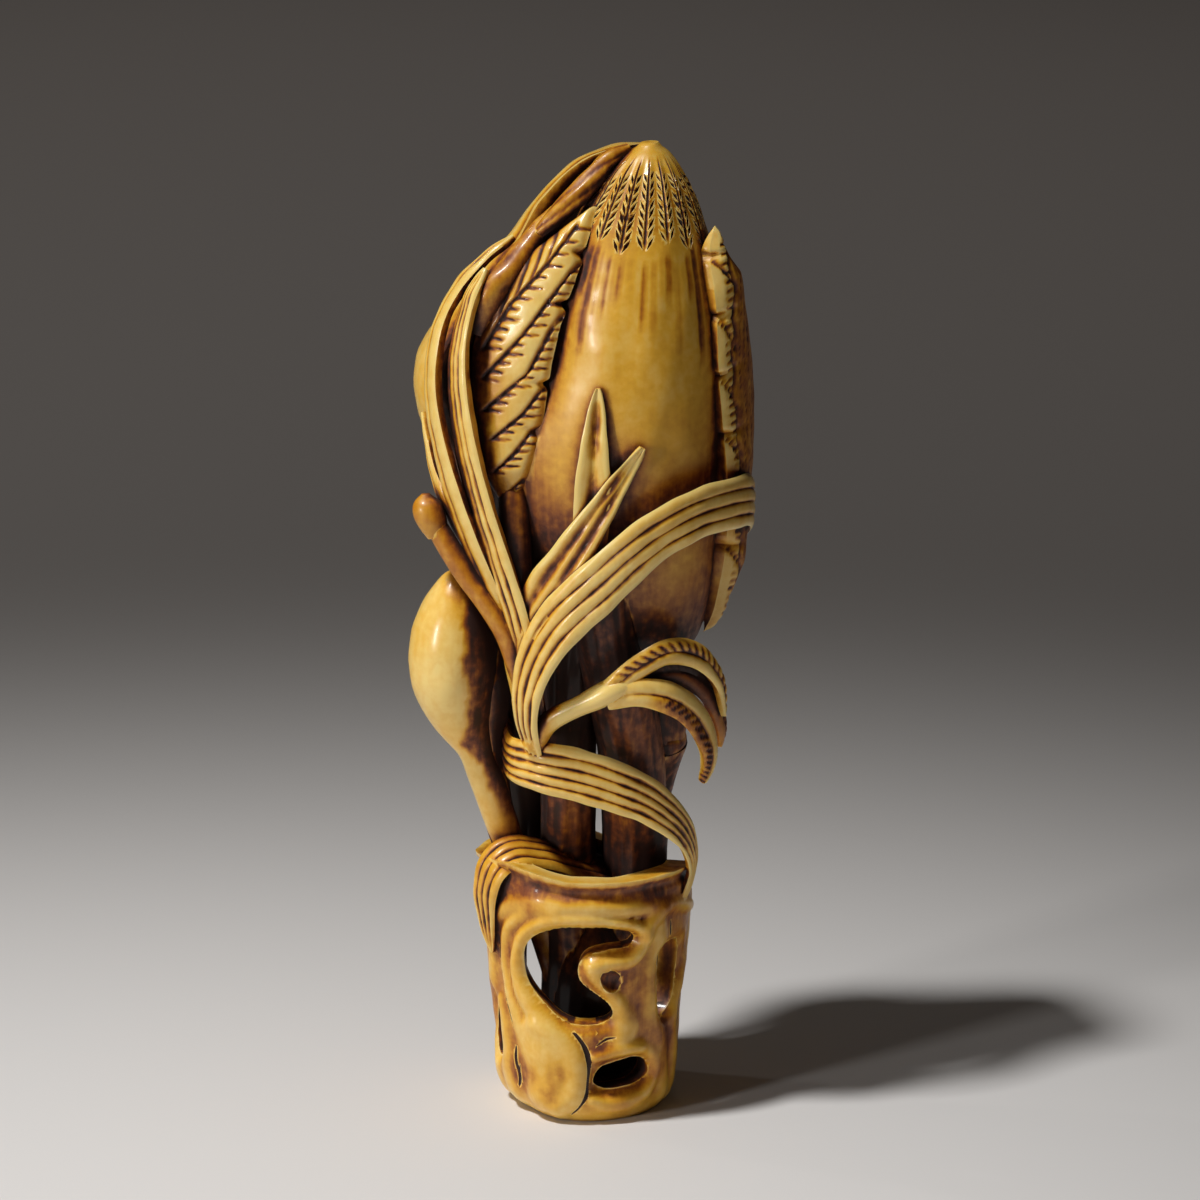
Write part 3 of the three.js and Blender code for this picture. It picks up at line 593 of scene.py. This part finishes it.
def engraving(w, z, furrows, reach):
    """w runs across the leaf and z along it. Each furrow is a line of [w, z] points: a V cut on the line,
    and beside it wedge-shaped strokes that start at the furrow and thin out over their reach. The strokes
    stand further apart higher up: they are PITCH + PITCH_GROWTH (z - 46) apart."""
    furrow = np.zeros_like(z)
    comb = np.zeros_like(z)
    apart = np.maximum(0.3, PITCH + PITCH_GROWTH * (z - 46))
    count = np.log(apart) / PITCH_GROWTH
    for index, line in enumerate(furrows):
        line = np.asarray(line, float)
        h = w - np.interp(z, line[:, 1], line[:, 0])
        low, high = line[0, 1], line[-1, 1]
        live = smoothstep(low - 0.2, low + 0.3, z) * (1 - smoothstep(high - 0.2, high + 0.2, z))
        furrow = np.maximum(furrow, live * bump(h, 0.15))
        stroke = np.floor(count + 0.37 * index)
        length = reach * (0.8 + 0.2 * np.sin(2.4 * stroke + index))
        fade = np.clip(1 - h / length, 0, 1) * smoothstep(0.0, 0.12, h)
        step = ((count + 0.37 * index) % 1 - 0.5) * apart
        comb = np.maximum(comb, live * bump(step, 0.05 + 0.1 * fade) * smoothstep(0, 0.3, fade))
    return furrow, comb


def leaf(name, front, back, bulge, size, cut, notches):
    """The sheet's points are a straight blend from the front edge to the back edge, moved out from the
    bud by a parabola. cut gives furrow and comb from the blend s, the height and the points."""
    rows, cols = size
    t = np.linspace(0.005, 0.995, rows)
    a, b = spline(front, t), spline(back, t)
    out = unit(np.cross(b - a, np.gradient(a, axis=0)))
    middle = np.array([BUD["x"], BUD["y"], 0])
    away = ((a - middle) * out * [1, 1, 0]).sum(axis=1, keepdims=True)
    out = np.where(away < 0, -out, out)[:, None]
    wide = np.linalg.norm(b - a, axis=1)[:, None]
    s = np.linspace(0, 1, cols)[None, :]
    notch = sum(0.5 * bump(a[:, 2] - z - 0.15, 0.3) for z in notches)[:, None] * (1 - s) ** 3
    place = s + notch / np.maximum(wide, 0.5)
    lift = (bulge * 4 * s * (1 - s) + 0.3) * np.minimum(1, wide / 4)
    top = a[:, None] + (b - a)[:, None] * place[..., None] + out * lift[..., None]
    furrow, comb = cut(s * wide, top)
    round_edge = 0.3 * (bump(s * wide, 0.25) + bump((1 - s) * wide, 0.25))
    top = top - out * (0.24 * furrow + 0.12 * comb + round_edge)[..., None]
    depth = (LEAF_THICK * np.minimum(1, 0.15 + wide / 4))[..., None]
    under = [a[:, None] + (b - a)[:, None] * share - out * depth for share in (0.85, 0.5, 0.15)]
    # Towards the back edge the sheet is painted darker, as stain and as painted shade.
    stain = np.clip(0.65 * furrow + 0.75 * comb + 0.25 * smoothstep(0.5, 1, s), 0, 1)
    closed_mesh(name, np.concatenate([top, *under], axis=1), np.pad(stain, ((0, 0), (0, 3))), 0.12)


RIGHT_NOTCHES = (66, 61.6, 57.2, 52.8, 48.4, 44)
LEFT_FURROWS = [
    [[-7.6, 59.2], [-5.5, 62.8], [-3.1, 65.5], [-0.6, 68.6]],
    [[-7.6, 57.2], [-4.6, 60.7], [-1.1, 65.4], [0, 66.5]],
    [[-7.6, 54.8], [-4.2, 58], [-2.4, 61.4], [-1.2, 63]], [[-7, 52.8], [-4.6, 54.9], [-3.1, 56.9]],
    [[-6.8, 50.4], [-5.2, 52], [-4, 53.6]], [[-6.6, 48], [-4.6, 50]]
]


def left_cut(w, points):
    """On the left leaf the furrows lie in the plane seen from the front, so sideways is simply x. Above
    the top furrow steep strokes run up to the edge."""
    x, z = points[..., 0], points[..., 2]
    furrow, comb = engraving(x, z, LEFT_FURROWS, 1.6)
    h = x - np.interp(z, [p[1] for p in LEFT_FURROWS[0]], [p[0] for p in LEFT_FURROWS[0]])
    steep = bump((0.94 * x - 0.35 * z) % 0.62 - 0.31, 0.1) * smoothstep(-2.4, -2.0, h)
    steep = steep * (1 - smoothstep(-0.3, -0.1, h))
    return furrow, np.maximum(comb, steep * smoothstep(61.5, 62.5, z) * (1 - smoothstep(67.6, 68.2, z)))


def right_cut(w, points):
    """From the front edge backwards: short level strokes, a furrow, and upright rows of pricks in the dark
    side, whose ground is stain and painted shade of the side turned from the light."""
    z = points[..., 2]
    level = bump(z % 0.66 - 0.33, 0.1) * smoothstep(0.35, 0.5, w) * (1 - smoothstep(1.0, 1.2, w))
    furrow = bump(w - 1.15 - 0.12 * np.sin(2 * z), 0.16)
    rows = sum(bump(w - at, 0.13) * smoothstep(-0.4, 0.5, np.sin(2 * np.pi * z / 0.62 + 2 * at))
               for at in (1.9, 2.6, 3.3, 4.0, 4.7, 5.4))
    veins = sum(bump(w - np.interp(z, (at - 2.6, at), (1.5, 0.1)), 0.12) * smoothstep(at - 2.7, at - 2.3, z)
                * (1 - smoothstep(at - 0.2, at + 0.1, z)) for at in RIGHT_NOTCHES)
    # The ground behind the furrow is painted dark, as stain and as painted shade of the side turned from
    # the light.
    return np.maximum(furrow, veins), np.maximum(np.maximum(level, rows), 0.56 * smoothstep(1.1, 1.5, w))


def back_cut(w, points):
    """Furrows leave the front edge every five millimetres and run steeply down to the back edge."""
    furrows = [[[-7.0, at - 12], [-3.0, at - 5.4], [0.4, at]] for at in range(66, 26, -5)]
    return engraving(-w, points[..., 2], furrows, 1.1)


leaf("left leaf", [
    [0.7, -3, 69.9], [-0.2, -4.6, 66.3], [-1.4, -5.2, 62.8], [-2.4, -5.5, 58.6], [-3.1, -5.5, 54.4],
    [-3.9, -5.5, 51], [-5.2, -4.9, 47.4]
], [
    [0.4, -2.8, 69.8], [-4.4, -2.6, 65.8], [-7.3, -2.8, 62], [-8.6, -3.2, 57], [-8.2, -3.9, 51.8],
    [-6, -4.7, 47.2]
], 0.7, (160, 54), left_cut, (66.4, 62.8, 56.9, 53.4))
leaf("right leaf", [
    [9.6, -3.1, 68.2], [9.1, -3.9, 66.2], [9.5, -4.3, 62.5], [9.7, -4.5, 58], [10, -4.4, 54],
    [10.4, -4, 49.5], [10.4, -3, 45], [9.7, -2, 39.4], [9, -1, 36.8]
], [
    [9.7, -2.9, 68.3], [9.8, -1.8, 66.4], [10.5, 1.2, 63], [11.3, 3.5, 58], [11.3, 4, 51.6], [10.5, 3, 46],
    [9.8, 0.4, 40.4], [9.1, -0.8, 36.8]
], 1.4, (150, 44), right_cut, RIGHT_NOTCHES)
leaf("back leaf", [
    [5.2, 5.4, 68], [1, 7.2, 62], [0.4, 7.8, 55], [2, 7.6, 48], [4.4, 5.8, 41]
], [
    [5.5, 5.2, 68.1], [8.4, 5.6, 62], [9.4, 5.4, 55], [8.4, 5.8, 48], [4.8, 5.6, 40.8]
], 0.8, (80, 34), back_cut, range(66, 45, -5))

# %% [markdown]
# ## Grass blades, the strap and the fern frond
# A blade is a strip that faces away from the bouquet's middle. Across it run rounded ribs with a dark
# furrow between each two, and it narrows to a point. The strap that ties the stems, the leaf hooked over
# the rim and the frond's leaflets are made by the same function with other widths and ribs.

# %% Blades
BLADE_THICK = 1.2


def blade(name, path, width, ribs=2, rows=90, start=0.8, core=None, comb=None, honey=0.15, dish=0.0,
          taper=None, groove=1.0, shade=0.0, seed=1):
    """Points = spline + sideways along the strip + height outwards. Height is a flattened half ellipse,
    less an uneven narrow furrow between ribs, groove times as wide as usual. The strip swells from its
    start and closes in a square root at its tip, or follows taper, the shares of its width along it. comb
    = (side, start) adds strokes beside the middle line, and shade stains the ground between them."""
    t = np.linspace(0, 1, rows)
    line = spline(path, t)
    forward = unit(np.gradient(line, axis=0))
    middle = line * [0, 0, 1] + [1, 0, 0] if core is None else np.asarray(core, float)
    out = line - middle
    out = unit(out - (out * forward).sum(axis=1, keepdims=True) * forward)
    side = np.cross(forward, out)
    body = mix(start, 1, np.minimum(1, 4 * t)) * np.minimum(1, np.sqrt(2.2 * (1.008 - t)))
    if taper:
        body = body * np.interp(t, np.linspace(0, 1, len(taper)), taper)
    s = np.linspace(-1, 1, 7 * ribs + 1)[None, :]
    across = s * width / 2 * body[:, None]
    lines = np.linspace(-1, 1, ribs + 1)[1:-1]
    gap = np.abs(across[..., None] - lines * width / 2 * body[:, None, None])
    hand = uneven(t, ribs - 1, len(path) / 2, seed)
    furrow = (bump(gap, groove * (0.08 + 0.07 * hand[:, None])) * (0.3 + 0.7 * hand[:, None])).max(axis=-1)
    furrow = furrow * smoothstep(0.25, 0.55, body)[:, None]
    comb_cut = np.zeros_like(furrow)
    inner = np.zeros_like(furrow)
    if comb:
        side_sign, first = comb
        h = side_sign * across
        pitch = (t[:, None] * 13 + 0.6 * h) % 0.6 - 0.3
        comb_cut = bump(pitch, 0.11) * smoothstep(-0.05, 0.1, h) * (1 - smoothstep(0.6, 0.85, h))
        comb_cut = comb_cut * smoothstep(first, first + 0.08, t)[:, None]
        inner = shade * smoothstep(0, 0.3, h) * smoothstep(first - 0.1, first + 0.1, t)[:, None]
        furrow = furrow * smoothstep(first - 0.25, first, t)[:, None]
    rib = 0.06 * np.abs(np.cos(np.pi * ribs * (s + 1) / 2 + np.pi / 2))
    thin = mix(0.4, 1, body)[:, None]
    height = BLADE_THICK * thin * (0.36 * (1.02 - s**2) ** 0.35 + rib - dish * (1 - s**2))
    height = height - (0.07 + 0.07 * groove) * furrow - 0.13 * comb_cut
    top = line[:, None] + side[:, None] * across[..., None] + out[:, None] * height[..., None]
    under = [line[:, None] + (side * share * width * body[:, None] / 2 - out * 0.48 * thin)[:, None]
             for share in (0.7, 0.25, -0.25, -0.7)]
    stain = np.clip(0.75 * furrow + 0.7 * comb_cut + inner, 0, 1)
    closed_mesh(name, np.concatenate([top, *under], axis=1), np.pad(stain, ((0, 0), (0, 4))), honey)


blade("broad blade", [
    [-3.6, -5, 28], [-4.4, -6.9, 32], [-4, -7.6, 35.6], [-2.2, -8.2, 39.4], [1.2, -8.8, 43],
    [4.4, -8.8, 46], [7.8, -7.6, 47.8], [11, -4.6, 48], [12.1, -0.4, 46.8], [11, 4, 44], [8, 7, 40],
    [4.6, 7, 34], [3, 6.2, 26], [2.6, 6, 17]
], 3.9, ribs=4, rows=144, start=0.4, seed=3)
blade("strap", [
    [7.2, -2.8, 16.6], [7.9, -3, 18.8], [7.8, -3.8, 20.9], [6.9, -4.6, 23], [4.7, -5.6, 25.2],
    [2.2, -6.3, 26.6], [-0.6, -6.4, 27.6], [-3.6, -5.6, 28], [-5.7, -2.8, 28], [-5.6, 1.6, 29.6],
    [-3, 4.4, 32.4], [0.6, 5.6, 36]
], 4.3, ribs=5, rows=104, taper=(0.34, 0.36, 0.5, 0.66, 0.84, 0.94, 1, 1, 1, 0.95, 0.9), seed=4)
blade("low front blade", [
    [-3.8, -5, 30], [-4.8, -6.6, 37.2], [-3.2, -7.6, 41.4], [0, -8.4, 46.6], [4.1, -8.2, 53]
], 3.4, ribs=3, rows=80, dish=0.2, honey=0.3, groove=2.4, seed=5)
blade("upright front blade", [
    [-0.6, -7, 42], [0.4, -8, 47], [0.6, -8.1, 51.6], [0.9, -7.7, 57.3]
], 2.7, ribs=2, rows=56, dish=0.35, honey=0.3, groove=2.6, seed=6)
blade("inner left blade", [
    [-3.8, -5.2, 31], [-4.8, -6.4, 38], [-6.6, -6.2, 44.4], [-8, -5.8, 49.4], [-9, -5.2, 54.4],
    [-9.2, -4.6, 59.2], [-8.4, -4, 63], [-7.2, -3.6, 65.2]
], 3.3, ribs=4, rows=96, seed=7)
blade("middle left blade", [
    [-4.4, -4.8, 35], [-6.9, -5.4, 41.4], [-8.9, -5.2, 46.6], [-10.5, -4.4, 52], [-11.2, -3.6, 56.6],
    [-10.7, -3, 60.6], [-9.2, -2.4, 63.6], [-7.2, -2, 65.8], [-5.2, -1.6, 67.2]
], 2.6, ribs=2, rows=100, seed=8)
blade("outer left blade", [
    [-5, -4.4, 38], [-7.6, -4.4, 43.4], [-9.5, -3.9, 46.6], [-11.1, -2.8, 49.8], [-11.9, -1.4, 54]
], 2.2, ribs=2, rows=50, seed=9)
blade("left back blade", [
    [-2, 5.6, 17], [-3.4, 6, 26], [-5, 7, 38], [-5.6, 8.8, 50], [-3.6, 8.4, 60]
], 3.4, ribs=3, rows=60, seed=10)
blade("middle back blade", [
    [-1, 5.6, 18], [-1.2, 6.4, 30], [-1.2, 7.4, 42], [0.4, 8, 52], [3.4, 7, 61]
], 2.6, ribs=3, rows=60, seed=11)
blade("leaf hooked over the rim", [
    [1.6, 0.6, 17.6], [-1.2, -1.2, 19], [-3.6, -2.8, 20.2], [-5.5, -3.8, 20.6], [-6.9, -4.2, 19.6],
    [-7.5, -4.1, 17.6], [-7.4, -3.7, 15], [-7, -3.3, 12.6]
], 3.6, ribs=4, rows=70, core=(-2, 1.5, 13), honey=0.9, start=1, groove=0.8,
    taper=(1, 1, 1, 0.95, 0.9, 0.8), seed=12)

# %% The frond's three leaflets, each with a comb of strokes along one side
blade("upper leaflet", [
    [1.4, -7.6, 34.1], [3.6, -7.9, 36.2], [6, -7.4, 37.4], [8.2, -6, 36.6], [9.8, -4.8, 34.4],
    [10.3, -4, 31.4]
], 2.0, rows=80, comb=(-1, 0.08), shade=0.1, seed=13)
blade("middle leaflet", [
    [2.6, -7, 34.4], [5.2, -6.6, 35.6], [7.4, -5.4, 35.2], [9.2, -3.8, 33.2], [10, -2.8, 30.4],
    [9.9, -2.2, 28.6]
], 2.5, rows=70, comb=(-1, 0.2), honey=2.0, shade=0.2, seed=14)
blade("lower leaflet", [
    [1.6, -7.6, 34], [4, -7.9, 34.4], [6.2, -7.4, 33.8], [7.9, -6.4, 32.2], [9, -5.6, 29.8],
    [9.1, -5.2, 28], [8.7, -5, 26.6]
], 2.4, rows=80, comb=(1, 0.26), shade=0.42, taper=(1, 1, 1, 1, 1, 1, 1.1, 1.3), seed=15)

# %% [markdown]
# ## Stems
# The stems rise from the floor of the vase and carry the bud. They are in the shade of the leaves, ribbed
# and heavily stained. The pod, the frond and the knob have thin stems of their own.

# %% Stems
rod("left stem", upright([
    [-1.4, 1.6, 1], [-1.4, 1.4, 12], [-1.4, 0.4, 20], [-1.3, -0.8, 28], [-1, -2, 37], [0, -2, 45]
], 2.1), 0.36, 0.8, rows=60, sides=44, ribs=11, rib_depth=0.07)
rod("right stem", upright([
    [2.8, 2.6, 1], [3.2, 2.2, 12], [3.7, 0.8, 20], [3.3, -1.4, 28], [2.3, -3, 34], [1.3, -4.3, 40],
    [1, -4, 46]
], 2.5), 0.32, 0.8, rows=54, sides=52, ribs=13, rib_depth=0.06)
rod("jointed stem", [
    [1.6, 4.2, 1, 1.6], [2.6, 4.2, 12, 1.7], [4.2, 3.4, 20, 1.7], [5.1, 2, 25, 1.7], [5.4, 1.2, 27.8, 2.2],
    [5.4, 1.1, 28.2, 2.05], [5.4, 1.2, 31, 2.4], [5.4, 0.6, 40, 2.6]
], 0.5, 0.8, rows=54, sides=28, ribs=5, rib_depth=0.04)
rod("root stock", [
    [0.9, 1.2, 2, 2.6], [0.9, 0.8, 4.5, 3.3], [0.9, 0.7, 7.5, 3.5], [0.8, 0.9, 10.5, 3],
    [0.7, 1.2, 13.5, 1.6]
], 0.42, 0.8, rows=30, sides=52, ribs=18, rib_depth=0.05)
rod("left back stem", [
    [-4.4, 4, 17, 1.6], [-4.4, 2.8, 22, 1.8], [-4.8, 1.8, 32, 2.3], [-4.4, 2.2, 40, 2.4],
    [-4.6, 2.4, 46, 1.6]
], 0.5, 0.6, rows=40, sides=36, ribs=6, rib_depth=0.08)
rod("frond stem", [
    [-4, -5.6, 29.6, 0.9], [-2.8, -6.5, 31.6, 0.75], [-0.7, -7.1, 33, 0.8], [2.2, -7.6, 34.6, 0.85],
    [4, -7.5, 35.2, 0.4]
], lambda points: 0.4 * smoothstep(-1.2, -3.4, points[..., 0]) - 0.16, 0, rows=40)
rod("stalk of the left leaf", [
    [-5.3, -4.4, 50.5, 0.6], [-5.3, -4.6, 48, 1.2], [-5.2, -4.8, 44, 1.3], [-4.6, -5, 39, 1.1]
], 0.26, 0.6, rows=44, sides=24, ribs=4, rib_depth=0.1)
rod("twig", [
    [-4.6, -5.6, 34.6, 0.9], [-6, -5.8, 38.6, 0.85], [-8.6, -5.2, 42.4, 0.85], [-11.2, -4.3, 46.4, 0.8]
], 0.2, 0.6, rows=40)

# %% [markdown]
# ## One skin
# Boolean modifiers with the Manifold solver take the hollow and the holes out of the vase, fuse the forms
# and make the knife cuts. What lies inside another form goes, and the stain and honey attributes carry over
# to the new skin. Angles over 50 degrees stay crisp.

# %% Fuse the forms, drill the vase and make the knife cuts
carving = forms[0]
for operation, pieces in (("DIFFERENCE", cutters), ("UNION", forms[1:]), ("DIFFERENCE", knife_work)):
    for piece in pieces:
        step = carving.modifiers.new(operation.lower(), "BOOLEAN")
        step.operation, step.solver, step.object = operation, "MANIFOLD", piece
seen = carving.evaluated_get(bpy.context.evaluated_depsgraph_get())
skin = bpy.data.meshes.new_from_object(seen)
skin.name = "netsuke_carving"


def hand_work(mesh, depth):
    """Moves each point along its normal by a sum of eight seeded sine waves 2 to 5 mm long, as a hand
    leaves no face quite true. The foot stays flat."""
    count = len(mesh.vertices)
    co, normal = np.empty((2, 3 * count), np.float32)
    mesh.vertices.foreach_get("co", co)
    mesh.vertex_normals.foreach_get("vector", normal)
    co, normal = co.reshape(-1, 3) / MM, normal.reshape(-1, 3)
    dice = np.random.default_rng(3)
    wave = unit(dice.normal(size=(8, 3))) * (2 * np.pi / dice.uniform(2, 5, 8))[:, None]
    total = np.sin(co @ wave.T + dice.uniform(0, 6.3, 8)).sum(axis=1) / math.sqrt(8)
    co = co + normal * (depth * total * smoothstep(0.2, 1.5, co[:, 2]))[:, None]
    mesh.vertices.foreach_set("co", (co * MM).astype(np.float32).ravel())
    mesh.update()


HAND_DEPTH = 0.045
CREASE_ANGLE = 50
hand_work(skin, HAND_DEPTH)
skin.materials.clear()
skin.shade_smooth()
skin.set_sharp_from_angle(angle=math.radians(CREASE_ANGLE))
netsuke = placed("netsuke_carving", skin)
for piece in forms + cutters + knife_work:
    bpy.data.meshes.remove(piece.data)
triangles = sum(len(face.vertices) - 2 for face in skin.polygons)
print("fused skin:", len(skin.vertices), "points,", triangles, "triangles")

# %% [markdown]
# ## Stained and polished ivory
# Ivory is cream white when cut and honey yellow with age, with a low gloss from the polish and a little
# light carried under the surface. The carver rubbed a brown stain in and polished it off the high spots.
# Ambient occlusion finds the crevices that keep the stain, and the wider hollows, which it darkens as
# stain and as painted shade. The same node turned inwards finds the edges that are worn pale.

# %% Colours and the node helper
def linear(code):
    """An sRGB hex colour as the linear values that shaders use, opaque."""
    parts = [int(code[i:i + 2], 16) / 255 for i in (1, 3, 5)]
    return [c / 12.92 if c <= 0.04045 else ((c + 0.055) / 1.055) ** 2.4 for c in parts] + [1.0]


def add(tree, kind, inputs=None, **settings):
    """Add one shader node: settings are its properties, inputs its sockets' values or the links to them."""
    made = tree.nodes.new(kind)
    for key, value in settings.items():
        setattr(made, key, value)
    for key, value in (inputs or {}).items():
        if isinstance(value, bpy.types.NodeSocket):
            tree.links.new(value, made.inputs[key])
        else:
            made.inputs[key].default_value = value
    return made


def new_material(name):
    """An empty node material and its output node."""
    material = bpy.data.materials.new(name)
    material.use_nodes = True
    material.node_tree.nodes.clear()
    return material, material.node_tree, material.node_tree.nodes.new("ShaderNodeOutputMaterial")


# %% The ivory
def stained_ivory():
    """Colour = a ramp from cream through honey to dark brown over the amount of stain and painted shade.
    The amount adds up the engraved stain, which holds painted shade in places, narrow crevices, wide
    hollows darkened as stain and as painted shade, and cloudy patches, and worn edges take some away."""
    material, tree, output = new_material("stained_polished_ivory")
    place = add(tree, "ShaderNodeTexCoord").outputs["Object"]
    stain = add(tree, "ShaderNodeAttribute", attribute_name="stain").outputs["Fac"]
    honey = add(tree, "ShaderNodeAttribute", attribute_name="honey").outputs["Fac"]

    def occlusion(reach, inside=False):
        return add(tree, "ShaderNodeAmbientOcclusion", {"Distance": reach * MM}, samples=16,
                   only_local=True, inside=inside).outputs["AO"]

    def noise(where, size, detail):
        inputs = {"Vector": where, "Scale": 1 / (size * MM), "Detail": detail}
        return add(tree, "ShaderNodeTexNoise", inputs).outputs["Fac"]

    def plus(amount, value, weight):
        inputs = {0: value, 1: weight, 2: amount}
        return add(tree, "ShaderNodeMath", inputs, operation="MULTIPLY_ADD").outputs[0]

    def ranged(value, low, high, to_low=0.0, to_high=1.0):
        inputs = {"Value": value, "From Min": low, "From Max": high, "To Min": to_low, "To Max": to_high}
        return add(tree, "ShaderNodeMapRange", inputs).outputs["Result"]

    crevice, hollow, edge = occlusion(1.1), occlusion(5), occlusion(0.5, inside=True)
    cloud, grain = noise(place, 7, 4.0), noise(place, 0.7, 3.0)
    # Ivory's grain runs up the tusk: fibres 0.45 mm wide and ten times as long hold the stain unevenly.
    fibre_place = add(tree, "ShaderNodeMapping", {"Vector": place, "Scale": (1, 1, 0.1)}).outputs["Vector"]
    fibre = noise(fibre_place, 0.45, 2.0)
    amount = plus(stain, ranged(crevice, 0.9, 0.3), 0.32)
    # Wide hollows, where the parts shade one another, darken as stain and as painted shade.
    amount = plus(amount, ranged(hollow, 0.92, 0.35), 0.55)
    patchy = ranged(amount, 0.1, 0.7, 0.04, 0.2)
    streaky = ranged(amount, 0.1, 0.7, 0.015, 0.16)
    amount = plus(amount, ranged(cloud, 0.4, 0.75), 0.14)
    amount = plus(amount, ranged(grain, 0.3, 0.7, -1, 1), patchy)
    amount = plus(amount, ranged(fibre, 0.3, 0.7, -1, 1), streaky)
    amount = plus(amount, honey, 0.2)
    amount = plus(amount, ranged(edge, 0.9, 0.4), -0.2)
    ramp = add(tree, "ShaderNodeValToRGB", {"Fac": amount})
    stops = ramp.color_ramp.elements
    stops[0].color = linear("#F6D47E")
    stops[1].color = linear("#2E0F03")
    for position, code in ((0.2, "#E4AC34"), (0.4, "#BA7409"), (0.6, "#823E02"), (0.8, "#521F03")):
        stops.new(position).color = linear(code)
    pores = add(tree, "ShaderNodeBump", {"Height": grain, "Strength": 0.2, "Distance": 0.05 * MM})
    shader = add(tree, "ShaderNodeBsdfPrincipled", {
        "Base Color": ramp.outputs["Color"], "Roughness": ranged(amount, 0.1, 0.9, 0.3, 0.7),
        "Normal": pores.outputs["Normal"], "IOR": 1.54, "Subsurface Weight": 0.12,
        "Subsurface Radius": (1.0, 0.5, 0.2), "Subsurface Scale": 1.0 * MM, "Coat Weight": 0.15,
        "Coat Roughness": 0.12, "Coat IOR": 1.5})
    tree.links.new(shader.outputs["BSDF"], output.inputs["Surface"])
    return material


skin.materials.append(stained_ivory())
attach(netsuke, "root")
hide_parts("netsuke")

# %% [markdown]
# ## Floor, light and camera
# The carving stands on a plain pale sheet under one soft lamp from the upper left, which falls off
# behind it, so that the sheet goes from pale in front to grey in the distance. A long lens from a little
# above keeps the proportions true.

# %% Floor
FLOOR_SIZE = 6.0


def pale_floor():
    """A wide flat sheet of matt pale paper on the plane of the foot."""
    material, tree, output = new_material("pale_matt_paper")
    shader = add(tree, "ShaderNodeBsdfPrincipled", {"Base Color": linear("#D6D3D2"), "Roughness": 0.75})
    tree.links.new(shader.outputs["BSDF"], output.inputs["Surface"])
    half = FLOOR_SIZE / 2
    corners = [(-half, -half, 0), (half, -half, 0), (half, half, 0), (-half, half, 0)]
    mesh = bpy.data.meshes.new("floor_sheet")
    mesh.from_pydata(corners, [], [(0, 1, 2, 3)])
    mesh.materials.append(material)
    sheet = placed("floor_sheet", mesh)
    sheet.location.z = -0.05 * MM


pale_floor()


# %% Lights
def lamp(name, kind, place, aim, **settings):
    """A light at place, turned to shine at aim."""
    light = bpy.data.lights.new(name, kind)
    for key, value in settings.items():
        setattr(light, key, value)
    holder = placed(name, light)
    holder.location = place
    holder.rotation_euler = (Vector(aim) - Vector(place)).to_track_quat("-Z", "Y").to_euler()


CARVING_MIDDLE = (0, 0, 0.035)
KEY_AIM = Vector((-0.045, -0.077, 0))
KEY_DIRECTION = Vector((-0.36, -0.13, 0.91)).normalized()
KEY_DISTANCE = 0.9
lamp("key", "SPOT", KEY_AIM + KEY_DISTANCE * KEY_DIRECTION, KEY_AIM, energy=35.5,
    spot_size=math.radians(24), spot_blend=1.0, shadow_soft_size=0.05, color=(1.0, 1.0, 0.98))
lamp("left_fill", "AREA", (-0.57, -0.45, 0.17), CARVING_MIDDLE, energy=1.5, shape="RECTANGLE",
    size=0.07, size_y=0.12, color=(1.0, 0.98, 0.95))
lamp("window_glint", "AREA", (-0.42, 0.16, 0.52), CARVING_MIDDLE, energy=0.1, shape="RECTANGLE",
    size=0.015, size_y=0.025, color=(1.0, 1.0, 0.96))
lamp("background_light", "SPOT", (-0.05, 0.42, 0.5), (-0.05, 0.34, 0), energy=0.4,
    spot_size=math.radians(75), spot_blend=1.0, color=(1.0, 0.9, 0.82))
world = bpy.data.worlds.new("studio")
bpy.context.scene.world = world
world.use_nodes = True
sky = world.node_tree.nodes["Background"].inputs
sky["Color"].default_value = linear("#D6C6B8")
sky["Strength"].default_value = 0.038

# %% Camera
CAMERA_ELEVATION = math.radians(16)
CAMERA_DISTANCE = 0.42
CAMERA_AIM = Vector((1.284, 0.034, 39.2)) * MM
lens = bpy.data.cameras.new("camera")
lens.lens = 169.1
lens.sensor_width = 36
lens.clip_start = 0.01
camera = placed("camera", lens)
towards_camera = Vector((0, -math.cos(CAMERA_ELEVATION), math.sin(CAMERA_ELEVATION)))
camera.location = CAMERA_AIM + CAMERA_DISTANCE * towards_camera
camera.rotation_euler = (math.radians(90) - CAMERA_ELEVATION, 0, 0)
bpy.context.scene.camera = camera
bpy.context.scene.view_settings.view_transform = "Standard"
